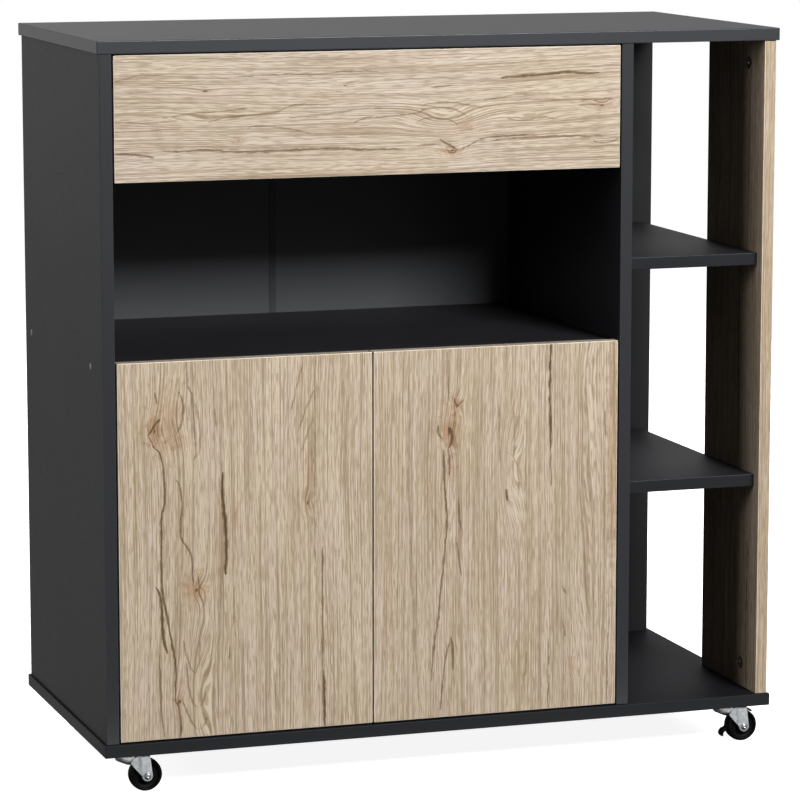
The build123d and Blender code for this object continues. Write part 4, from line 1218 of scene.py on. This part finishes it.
@dataclass
class CrossScrew:
    """A screw with a flat or low round head and a cross recess."""

    head_radius: float
    head_height: float
    shank_radius: float
    length: float
    recess_reach: float = 0.62
    recess_width: float = 0.2
    recess_depth: float = 0.75
    edge: float = 0.12
    steepest: float = 0.8
    point_reach: float = 0.72
    point_width: float = 0.8
    flats: int = 32

    def add_to(self, form: bmesh.types.BMesh, place: Matrix) -> None:
        """Add the screw to a mesh, head at the origin of its frame and shank along local -Z.

        Args:
            form: The mesh that gets the screw.
            place: The screw's own frame.
        """
        radius, height = self.head_radius, self.head_height
        rim = radius * (1 - self.edge)
        side = [
            (rim, 0.0), (radius * 0.97, -height * 0.12), (radius, -height * 0.35), (radius, -height * 0.9),
            (radius * 0.97, -height), (self.shank_radius, -height),
            (self.shank_radius, -self.length * 0.85), (0.0, -self.length)]
        turned(form, side, place, self.flats)
        self.add_face(form, place, rim)

    def add_face(self, form: bmesh.types.BMesh, place: Matrix, rim: float) -> None:
        """Close the head with a flat that has a cross sunk in it.

        Args:
            form: The mesh that gets the face.
            place: The screw's own frame.
            rim: Radius of the flat.
        """
        reach = self.head_radius * self.recess_reach
        half = self.head_radius * self.recess_width / 2
        depth = min(self.head_height * self.recess_depth, reach * self.steepest)
        corners = [
            (reach, half), (half, half), (half, reach), (-half, reach), (-half, half), (-reach, half),
            (-reach, -half), (-half, -half), (-half, -reach), (half, -reach), (half, -half), (reach, -half)]
        angles = [2 * math.pi * step / self.flats for step in range(self.flats)]
        tip = Vector((self.point_reach, self.point_width))
        outer = [form.verts.new(place @ Vector((rim * math.cos(a), rim * math.sin(a), 0.0))) for a in angles]
        upper = [form.verts.new(place @ Vector((x, y, 0.0))) for x, y in corners]
        lower = [form.verts.new(place @ Vector((x * tip.x, y * tip.y, -depth))) for x, y in corners]
        loops = []
        for loop in (outer, upper):
            loops += [form.edges.new(pair) for pair in zip(loop, loop[1:] + loop[:1])]
        bmesh.ops.triangle_fill(form, use_beauty=True, use_dissolve=False, edges=loops)
        for step in range(len(corners)):
            after = (step + 1) % len(corners)
            form.faces.new((upper[step], upper[after], lower[after], lower[step]))
        form.faces.new(lower)


@dataclass
class Fixings:
    """Screws, nails, cams, bolts, dowels and shelf pins."""

    screw_nodes: tuple[str, ...] = (
        "hardware_screws", "caster_screws", "drawer_screws", "left_cup_screws", "right_cup_screws",
        "niche_floor_screws")
    cam_height: float = 11.0
    cam_pin: float = 3.0
    cam_length: float = 12.0
    nail_flats: int = 24
    head_slack: float = 0.05
    shank_step: float = 0.3
    end_slack: float = 0.01

    def dress(self) -> None:
        """Dress what stays hidden in the boards, and the shelf pins."""
        dress(["wood_dowels"], BEECH)
        dress(["cam_bolts", "shelf_pins", "caster_king_pins"], ZINC_STEEL)

    def build(self) -> None:
        """Replace the plain screws, nails and cams."""
        for node in self.screw_nodes:
            self.build_screws(node)
        self.build_nails()
        self.build_cams()

    def measure(self, points: Sequence[Vector]) -> tuple[Matrix, float, float, float, float]:
        """Find how a headed fixing lies.

        Args:
            points: The points of one plain solid, in millimetres.

        Returns:
            Its frame with the head at the origin and the shank along -Z, then the radius and height of the
            head, the radius of the shank, and the length.
        """
        low, high = span_of(points)
        size = high - low
        axis = max(range(3), key=lambda one: size[one])
        middle = (low + high) / 2
        radial = []
        for p in points:
            gap = p - middle
            gap[axis] = 0.0
            radial.append((p[axis], gap.length))
        head_radius = max(r for _, r in radial)
        head_ends = [h for h, r in radial if r > head_radius - self.head_slack]
        shank_radius = max(r for h, r in radial if r < head_radius - self.shank_step)
        up = 1.0 if abs(max(head_ends) - high[axis]) < self.end_slack else -1.0
        direction = Vector((0, 0, 0))
        direction[axis] = up
        top = middle.copy()
        top[axis] = high[axis] if up > 0 else low[axis]
        height = max(head_ends) - min(head_ends)
        return facing(direction, top), head_radius, height, shank_radius, size[axis]

    def build_screws(self, node: str) -> None:
        """Replace a group of plain screws by ones with cross recesses.

        Args:
            node: The name of the group.
        """
        form = bmesh.new()
        for points in islands(node):
            place, head_radius, head_height, shank_radius, length = self.measure(points)
            CrossScrew(head_radius, head_height, shank_radius, length).add_to(form, place)
        to_piece(form, node, "_cross_head", ZINC_STEEL)

    def build_nails(self) -> None:
        """Replace the plain nails by ones with low domed heads."""
        form = bmesh.new()
        for points in islands("back_panel_nails"):
            place, head_radius, height, shank, length = self.measure(points)
            profile = [
                (0.0, 0.0), (head_radius * 0.5, -0.04), (head_radius * 0.85, -height * 0.3),
                (head_radius, -height * 0.75), (head_radius * 0.95, -height), (shank, -height),
                (shank, -length * 0.9), (0.0, -length)]
            turned(form, profile, place, self.nail_flats)
        to_piece(form, "back_panel_nails", "_domed", ZINC_STEEL)

    def build_cams(self) -> None:
        """Replace the plain cam discs by castings with a cross slot and an eased rim."""
        form = bmesh.new()
        for points in islands("cam_locks"):
            low, high = span_of(points)
            side = 1.0 if low.x < 0 else -1.0
            face = (low + high) / 2
            face.x = high.x if side > 0 else low.x
            disc = CrossScrew(
                (high.y - low.y) / 2, self.cam_height, self.cam_pin, self.cam_length, recess_reach=0.6,
                recess_width=0.24, recess_depth=0.14, edge=0.08)
            disc.add_to(form, facing(Vector((side, 0, 0)), face))
        to_piece(form, "cam_locks", "_cast", CAST_ZINC)


@dataclass
class Caster:
    """One swivel caster: plate, dished fork, axle, wheel and, on two of them, a foot brake."""

    place_name: str
    trail: float = 18.0
    wheel_radius: float = 20.0
    rim_half: float = 8.0
    hub_half: float = 9.0
    web_half: float = 5.0
    bore: float = 2.55
    fork_half: float = 12.8
    steel: float = 2.0
    neck_radius: float = 10.5
    neck_end: float = 7.3
    flat_start: float = 11.1
    eye_radius: float = 6.5
    lead: float = 10.4
    trailing: float = 3.0
    bend: float = 2.6
    leg_top: float = 46.0
    dish_floor: float = 42.0
    dish_rim: float = 18.0
    rim_top: float = 49.6
    axle_head: float = 4.2
    axle_reach: float = 2.5
    brake_skin: float = 20.35
    brake_sheet: float = 0.2
    brake_half: float = 3.0
    yoke_half: float = 10.5
    yoke_arm: float = 1.2
    yoke_eye: float = 6.0
    plate_edge: float = 0.4
    leg_edge: float = 0.55
    leg_turn: float = 60.0
    leg_columns: int = 40
    king_hole: float = 3.05
    hood_start: float = 0.15
    hood_blend: float = 0.35
    flats: int = 72
    head_flats: int = 40
    nut_edge: float = 0.3
    nut_turn: float = 20.0
    brake_edge: float = 0.6
    brake_turn: float = 50.0
    arm_edge: float = 0.25
    crisp: float = 40.0
    swivel: Vector = field(init=False)

    def __post_init__(self) -> None:
        """Find the swivel axis from the wheel."""
        low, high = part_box("wheel_" + self.place_name)
        middle = (low + high) / 2 / MM
        self.swivel = Vector((middle.x - self.trail, middle.y, 0.0))

    def node(self, part: str) -> str:
        """The solid's name for one part of this caster."""
        return part + "_" + self.place_name

    def axle_frame(self) -> Matrix:
        """The frame of the axle, whose local Z looks towards the front."""
        return facing(Vector((0, -1, 0)), self.swivel + Vector((self.trail, 0, self.wheel_radius)))

    def build(self) -> None:
        """Build every part of the caster."""
        softened(self.node("caster_plate"), ZINC_STEEL, self.plate_edge)
        self.build_wheel()
        self.build_fork()
        self.build_axle()
        if self.node("brake") in frame["nodes"]:
            self.build_brake()

    def build_wheel(self) -> None:
        """A moulded wheel with a crowned tread, a parting line, dished sides and a hub."""
        radius, rim, web, hub = self.wheel_radius, self.rim_half, self.web_half, self.hub_half
        half = [
            (radius, 0.25), (radius - 0.12, 0.4), (radius - 0.14, 3.6), (radius - 0.45, 5.6),
            (radius - 1.1, 7.0), (radius - 2.1, rim - 0.2), (radius - 3.0, rim), (radius - 3.8, rim - 0.15),
            (radius - 4.3, rim - 0.7), (radius - 4.9, web + 0.5), (radius - 5.6, web), (9.4, web),
            (8.5, web + 0.4), (8.1, web + 1.2), (8.0, hub - 0.5), (7.5, hub), (self.bore + 0.4, hub),
            (self.bore, hub - 0.4)]
        profile = [(r, -h) for r, h in reversed(half)] + half
        form = bmesh.new()
        turned(form, profile + [profile[0]], self.axle_frame(), self.flats)
        to_piece(form, self.node("wheel"), "_detailed", BLACK_PLASTIC, self.crisp)

    def leg_side(self, x: float) -> float:
        """How far a leg stands from the middle of the fork: flat by the axle, then a joggle to a round neck.

        Args:
            x: Distance from the swivel axis towards the axle.

        Returns:
            The distance from the middle to the leg's outer face.
        """
        neck = math.sqrt(max(self.neck_radius ** 2 - min(x, 0.0) ** 2, 0.0))
        share = gentle((x - self.neck_end) / (self.flat_start - self.neck_end))
        return neck + (self.fork_half - neck) * share

    def leg_span(self, z: float) -> tuple[float, float]:
        """The leading and trailing X of a leg at a height, about the swivel axis.

        Args:
            z: Height above the floor.

        Returns:
            Leading and trailing X.
        """
        eye = self.wheel_radius
        if z < eye:
            half = math.sqrt(max(self.eye_radius ** 2 - (eye - z) ** 2, 0.0))
            return self.trail - half, self.trail + half
        share = (z - eye) / (self.leg_top - eye)
        lead = self.trail - self.eye_radius
        end = self.trail + self.eye_radius
        return lead + (-self.lead - lead) * share, end + (self.trail + self.trailing - end) * share

    def leg_rows(self, front: float) -> list[list[Vector]]:
        """Rows of points over one leg, from its eye up and over the bend on to the dish.

        Args:
            front: -1 for the front leg, 1 for the rear one.

        Returns:
            Rows of points, in millimetres.
        """
        columns = self.leg_columns
        low = self.wheel_radius - self.eye_radius
        straight = self.leg_top - self.bend
        heights = [low + self.eye_radius * (1 - math.cos(math.pi / 2 * step / 8)) for step in range(9)]
        heights += [self.wheel_radius + (straight - self.wheel_radius) * step / 12 for step in range(1, 13)]
        path = [(z, z, 0.0) for z in heights]
        for step in range(1, 6):
            angle = math.pi / 2 * step / 5
            rise = straight + self.bend * math.sin(angle)
            path.append((straight + self.bend * step / 5, rise, self.bend * (1 - math.cos(angle))))
        rows = []
        for along, z, inward in path:
            lead, end = self.leg_span(min(along, self.leg_top))
            row = []
            for step in range(columns + 1):
                x = lead + (end - lead) * step / columns
                y = front * (self.leg_side(x) - inward)
                row.append(self.swivel + Vector((x, y, z)))
            rows.append(row)
        return rows

    def build_fork(self) -> None:
        """A pressed fork: two legs under a funnel-shaped dish whose rim rises to the plate."""
        form = bmesh.new()
        for front in (-1.0, 1.0):
            leg = bmesh.new()
            lofted(leg, self.leg_rows(front))
            bmesh.ops.remove_doubles(leg, verts=leg.verts, dist=JOIN_GAP)
            bmesh.ops.recalc_face_normals(leg, faces=leg.faces)
            if sum(face.normal.y for face in leg.faces) * front < 0:
                bmesh.ops.reverse_faces(leg, faces=leg.faces)
            bmesh.ops.solidify(leg, geom=leg.faces, thickness=self.steel)
            eased(leg, self.leg_edge, self.leg_turn)
            merged(form, leg)
        lofted(form, self.dish_rows(), ring=True)
        to_piece(form, self.node("fork"), "_detailed", ZINC_STEEL, self.crisp)

    def dish_rows(self) -> list[list[Vector]]:
        """The profile of the dish at each angle: a funnel over the wheel, a deep hood on the leading side.

        Returns:
            Rows of points, in millimetres.
        """
        hole, floor, rim, top = self.king_hole, self.dish_floor, self.dish_rim, self.rim_top
        upper = floor + self.steel
        funnel = [
            (hole, floor), (9.0, floor), (9.3, floor), (9.6, floor), (9.9, floor + 0.02),
            (10.1, floor + 0.05), (10.3, floor + 0.1), (10.5, floor + 0.2), (11.2, floor + 0.7),
            (rim - 0.5, top - 1.9), (rim - 0.1, top - 1.4), (rim, top - 0.7), (rim - 0.3, top),
            (rim - 1.1, top), (rim - 1.6, top - 0.3), (10.0, upper + 0.8), (9.2, upper + 0.1), (8.3, upper),
            (hole, upper)]
        hood = [
            (hole, floor), (rim - 2.4, floor), (rim - 1.8, floor - 0.8), (rim - 2.4, floor - 1.8),
            (5.0, floor - 7.1), (4.4, floor - 8.0), (4.7, floor - 8.7), (5.4, floor - 8.6),
            (rim - 1.4, floor - 3.5), (rim - 0.4, floor - 2.8), (rim, floor - 1.7), (rim, top - 0.4),
            (rim - 0.3, top), (rim - 1.1, top), (rim - 1.5, top - 0.4), (rim - 1.6, upper + 0.6),
            (rim - 2.2, upper), (8.3, upper), (hole, upper)]
        rows = []
        for step in range(self.flats):
            angle = 2 * math.pi * step / self.flats
            share = gentle((self.hood_start - math.cos(angle)) / self.hood_blend)
            row = []
            for (near, low), (far, high) in zip(funnel, hood):
                radius = near + (far - near) * share
                height = low + (high - low) * share
                spot = Vector((radius * math.cos(angle), radius * math.sin(angle), height))
                row.append(self.swivel + spot)
            rows.append(row + [row[0].copy()])
        return rows

    def build_axle(self) -> None:
        """A domed rivet head with a ring in front, a plain shank, and a nut with chamfered corners behind."""
        frame_axle = self.axle_frame()
        side = self.fork_half
        head, reach = self.axle_head, self.axle_reach
        form = bmesh.new()
        profile = [
            (0.0, side + reach - 0.5), (0.9, side + reach - 0.4), (1.5, side + reach),
            (2.4, side + reach - 0.1), (3.3, side + reach - 0.6), (3.9, side + reach - 1.3),
            (head, side + 0.6), (head, side + 0.15), (head - 0.15, side), (2.5, side), (2.5, -side - reach),
            (1.9, -side - reach), (0.0, -side - reach)]
        turned(form, profile, frame_axle, self.head_flats)
        corners = [(head * math.cos(math.pi / 3 * k), head * math.sin(math.pi / 3 * k)) for k in range(6)]
        nut = bmesh.new()
        prism(nut, corners, -side - reach + 0.2, -side, frame_axle)
        eased(nut, self.nut_edge, self.nut_turn)
        merged(form, nut)
        to_piece(form, self.node("axle"), "_detailed", BRIGHT_ZINC)

    def build_brake(self) -> None:
        """A moulded foot brake: a saddle over the wheel, a hooked toe, a heel lug and a yoke on the axle."""
        skin, sheet = self.brake_skin, self.brake_sheet
        # Angle about the axle, radius, half thickness and half width at each station.
        stations = [
            (51.0, 21.3, 0.9, 4.6), (53.0, 21.6, 1.3, 5.0), (58.0, 21.7, 1.4, 5.0), (62.0, 21.2, 0.9, 5.0),
            (66.0, 20.5, 0.3, 4.0), (69.0, skin, sheet, self.brake_half)]
        stations += [(73.0 + 6.0 * step, skin, sheet, self.yoke_half) for step in range(5)]
        stations += [(101.0 + 7.0 * step, skin, sheet, self.brake_half) for step in range(12)]
        stations += [
            (184.0, 20.5, 0.3, 4.0), (187.0, 20.9, 0.7, 5.0), (189.5, 21.6, 1.4, 5.0),
            (191.0, 22.8, 1.75, 5.0), (192.2, 24.2, 1.8, 5.0), (193.8, 25.6, 1.8, 5.0),
            (196.0, 26.9, 1.8, 5.0), (199.0, 27.8, 1.75, 5.0), (202.5, 28.1, 1.6, 4.8),
            (205.5, 28.1, 1.3, 4.5), (206.8, 28.1, 0.9, 4.1)]
        middle = self.swivel + Vector((self.trail, 0, self.wheel_radius))
        turns = [(math.radians(angle), radius) for angle, radius, _, _ in stations]
        line = [Vector((radius * math.cos(a), radius * math.sin(a))) for a, radius in turns]
        rows = []
        for place, spot in enumerate(line):
            run = (line[min(place + 1, len(line) - 1)] - line[max(place - 1, 0)]).normalized()
            out = Vector((run.y, 0, -run.x)) * stations[place][2]
            across = Vector((0, stations[place][3], 0))
            core = middle + Vector((spot.x, 0, spot.y))
            rows.append([
                core + out - across, core + out + across, core - out + across, core - out - across])
        form = bmesh.new()
        lofted(form, rows, tube=True)
        for end in (rows[0], rows[-1]):
            form.faces.new([form.verts.new(point) for point in end])
        bmesh.ops.remove_doubles(form, verts=form.verts, dist=JOIN_GAP)
        bmesh.ops.recalc_face_normals(form, faces=form.faces)
        eased(form, self.brake_edge, self.brake_turn, 3)
        for low in (self.yoke_half - self.yoke_arm, -self.yoke_half):
            arm = bmesh.new()
            prism(arm, self.arm_outline(), low, low + self.yoke_arm, self.axle_frame())
            eased(arm, self.arm_edge, self.brake_turn)
            merged(form, arm)
        to_piece(form, self.node("brake"), "_detailed", BLACK_PLASTIC, self.crisp)

    def arm_outline(self) -> list[tuple[float, float]]:
        """The outline of a brake arm about the axle: round at the eye, narrower where it meets the saddle.

        Returns:
            X and Y points, in order.
        """
        turns = [(self.yoke_eye, math.radians(a)) for a in range(180, 361, 15)]
        turns += [(self.brake_skin, math.radians(a)) for a in (72, 80, 90, 98)]
        return [(radius * math.cos(angle), radius * math.sin(angle)) for radius, angle in turns]


# Studio

def ray_shares(tree: Tree) -> tuple[Socket, Socket]:
    """Tell the rays apart that reach a stage surface.

    Args:
        tree: The tree of the surface.

    Returns:
        A socket that is 1 where the surface is seen straight or through glass, and one that is 1 in gloss.
    """
    rays = add_node(tree, "LightPath").node.outputs
    seen = add_node(
        tree, "Math", {0: rays["Is Camera Ray"], 1: rays["Is Transmission Ray"]}, operation="MAXIMUM")
    return seen, rays["Is Glossy Ray"]


@dataclass(frozen=True)
class FloorPaper(Finish):
    """White background paper, uncoated.

    The eye sees a pale floor that keeps the shadow and fades to white. In gloss it is dim, apart from a bright
    strip just before the front casters. Places are in metres from the middle of the trolley.
    """

    paper: str = "#E8E8E8"
    lift: float = 0.90
    fade_start: float = 0.9
    fade_end: float = 2.2
    bounce: float = 0.06
    gloss: float = 0.28
    gloss_dim: float = 0.06
    gloss_strip: float = 2.4
    before: tuple[float, float] = (-0.60, -0.48)
    behind: tuple[float, float] = (-0.05, 0.10)
    strip_middle: float = -0.36
    strip_half: tuple[float, float] = (0.05, 0.10)

    def paint(self, tree: Tree) -> Socket:
        """Lit paper with a glow for the eye, and a plain glow for every other ray.

        Args:
            tree: The tree of the material.

        Returns:
            The shader of the surface.
        """
        seen, glossy = ray_shares(tree)
        spot = add_node(tree, "TexCoord", out="Object")
        away = add_node(tree, "VectorMath", {0: spot}, out="Value", operation="LENGTH")
        fade = add_node(
            tree, "MapRange", {0: away, 1: self.fade_start, 2: self.fade_end, 3: self.lift, 4: 1.0})
        ahead = add_node(tree, "SeparateXYZ", {0: spot}).node.outputs["Y"]
        near, far = (
            add_node(tree, "MapRange", {0: ahead, 1: ends[0], 2: ends[1], 3: first, 4: last})
            for ends, first, last in (
                (self.before, self.gloss, self.gloss_dim), (self.behind, self.gloss_dim, self.gloss)))
        gloss = add_node(tree, "Math", {0: near, 1: far}, operation="MAXIMUM")
        offset = add_node(tree, "Math", {0: ahead, 1: self.strip_middle}, operation="SUBTRACT")
        offset = add_node(tree, "Math", {0: offset}, operation="ABSOLUTE")
        strip = add_node(
            tree, "MapRange", {0: offset, 1: self.strip_half[0], 2: self.strip_half[1], 3: 1.0, 4: 0.0})
        gloss = add_node(tree, "Mix", {0: strip, 2: gloss, 3: self.gloss_strip})
        dim = add_node(tree, "Mix", {0: glossy, 2: self.bounce, 3: gloss})
        paper = add_node(tree, "BsdfDiffuse", {"Color": linear(self.paper)})
        glow = add_node(tree, "Emission", {"Strength": fade})
        lit = add_node(tree, "AddShader", {0: paper, 1: glow})
        unseen = add_node(tree, "Emission", {"Strength": dim})
        return add_node(tree, "MixShader", {0: seen, 1: unseen, 2: lit})


@dataclass(frozen=True)
class Lamp:
    """A soft oblong lamp aimed at the middle of the trolley."""

    name: str
    azimuth: float
    elevation: float
    distance: float
    width: float
    height: float
    power: float
    mirrored: bool = True

    def place(self, target: Vector) -> None:
        """Put the lamp round the target and aim it.

        Args:
            target: The place that it looks at, in metres.
        """
        around, up = math.radians(self.azimuth), math.radians(self.elevation)
        back = Vector((math.sin(around) * math.cos(up), -math.cos(around) * math.cos(up), math.sin(up)))
        data = bpy.data.lights.new(self.name, "AREA")
        data.shape = "RECTANGLE"
        data.size = self.width
        data.size_y = self.height
        data.energy = self.power
        lamp = bpy.data.objects.new(self.name, data)
        lamp.location = target + back * self.distance
        lamp.visible_glossy = self.mirrored
        lamp.rotation_euler = (-back).to_track_quat("-Z", "Y").to_euler()
        bpy.context.scene.collection.objects.link(lamp)


@dataclass
class Studio:
    """White surroundings, a pale floor, soft lamps and the camera."""

    eye: Vector = field(default_factory=lambda: Vector((-1.4660, -4.3770, 1.1505)))
    yaw: float = 18.599
    pitch: float = -8.9
    lens: float = 169.1
    sensor: float = 36.0
    floor_side: float = 14.0
    floor_paper: FloorPaper = FloorPaper("floor_white_paper")
    lamps: tuple[Lamp, ...] = (
        Lamp("key", 16.0, 27.0, 3.6, 1.1, 0.65, 151.0),
        Lamp("left_fill", -76.0, 18.0, 3.2, 1.2, 1.0, 34.0, False),
        Lamp("right_rear", 140.0, 30.0, 3.4, 1.6, 1.6, 75.0, False),
        Lamp("rear", 185.0, 35.0, 3.6, 1.6, 1.6, 75.0, False),
    )
    ambient: float = 0.035
    front_gloss: float = 0.20
    back_left_gloss: float = 0.42
    back_gloss: float = 0.78
    back_right_gloss: float = 0.50
    left_limits: tuple[float, float] = (-0.35, 0.12)
    right_limits: tuple[float, float] = (0.18, 0.45)
    behind_limits: tuple[float, float] = (-0.30, 0.40)

    def build(self) -> None:
        """Set up everything that isn't the trolley."""
        low, high = CAD_BOX
        for lamp in self.lamps:
            lamp.place((low + high) / 2)
        self.build_world()
        self.build_floor()
        self.build_camera()
        bpy.context.scene.view_settings.view_transform = "Standard"

    def build_world(self) -> None:
        """White for the camera, and a dim room for light and gloss that is brightest behind the trolley."""
        world = bpy.data.worlds.new("studio")
        bpy.context.scene.world = world
        world.use_nodes = True
        tree = world.node_tree
        tree.nodes.clear()
        seen, glossy = ray_shares(tree)
        heading = add_node(tree, "TexCoord", out="Generated")
        parts = add_node(tree, "SeparateXYZ", {0: heading}).node.outputs
        left, right, behind = (
            add_node(tree, "MapRange", {0: parts[axis], 1: ends[0], 2: ends[1], 3: first, 4: last})
            for axis, ends, first, last in (
                ("X", self.left_limits, self.back_left_gloss, self.back_gloss),
                ("X", self.right_limits, self.back_gloss, self.back_right_gloss),
                ("Y", self.behind_limits, 0.0, 1.0)))
        rear = add_node(tree, "Math", {0: left, 1: right}, operation="MINIMUM")
        gloss = add_node(tree, "Mix", {0: behind, 2: self.front_gloss, 3: rear})
        level = add_node(tree, "Mix", {0: glossy, 2: self.ambient, 3: gloss})
        level = add_node(tree, "Mix", {0: seen, 2: level, 3: 1.0})
        sky = add_node(tree, "Background", {"Color": linear("#FFFFFF"), "Strength": level})
        add_node(tree, "OutputWorld", {"Surface": sky})

    def build_floor(self) -> None:
        """A square of pale paper that fades to white before its edge."""
        half = self.floor_side / 2
        corners = [(-half, -half, 0), (half, -half, 0), (half, half, 0), (-half, half, 0)]
        mesh = bpy.data.meshes.new("floor")
        mesh.from_pydata(corners, [], [(0, 1, 2, 3)])
        mesh.materials.append(self.floor_paper.material())
        floor = bpy.data.objects.new("floor", mesh)
        bpy.context.scene.collection.objects.link(floor)

    def build_camera(self) -> None:
        """A long lens at the photograph's height and angle."""
        data = bpy.data.cameras.new("camera")
        data.lens = self.lens
        data.sensor_width = self.sensor
        data.clip_end = 100.0
        camera = bpy.data.objects.new("camera", data)
        yaw, pitch = math.radians(self.yaw), math.radians(self.pitch)
        ahead = Vector((math.sin(yaw) * math.cos(pitch), math.cos(yaw) * math.cos(pitch), math.sin(pitch)))
        camera.location = self.eye
        camera.rotation_euler = ahead.to_track_quat("-Z", "Y").to_euler()
        bpy.context.scene.collection.objects.link(camera)
        bpy.context.scene.camera = camera


def main() -> None:
    """Build and dress the trolley, then the studio round it."""
    logging.basicConfig(level=logging.INFO, format="%(name)s: %(message)s")
    Cabinet().dress()
    for part in (Drawer(), Doors(), Fixings()):
        part.dress()
        part.build()
    for place in ("front_left", "front_right", "rear_left", "rear_right"):
        Caster(place).build()
    Studio().build()


if __name__ == "__main__":
    main()
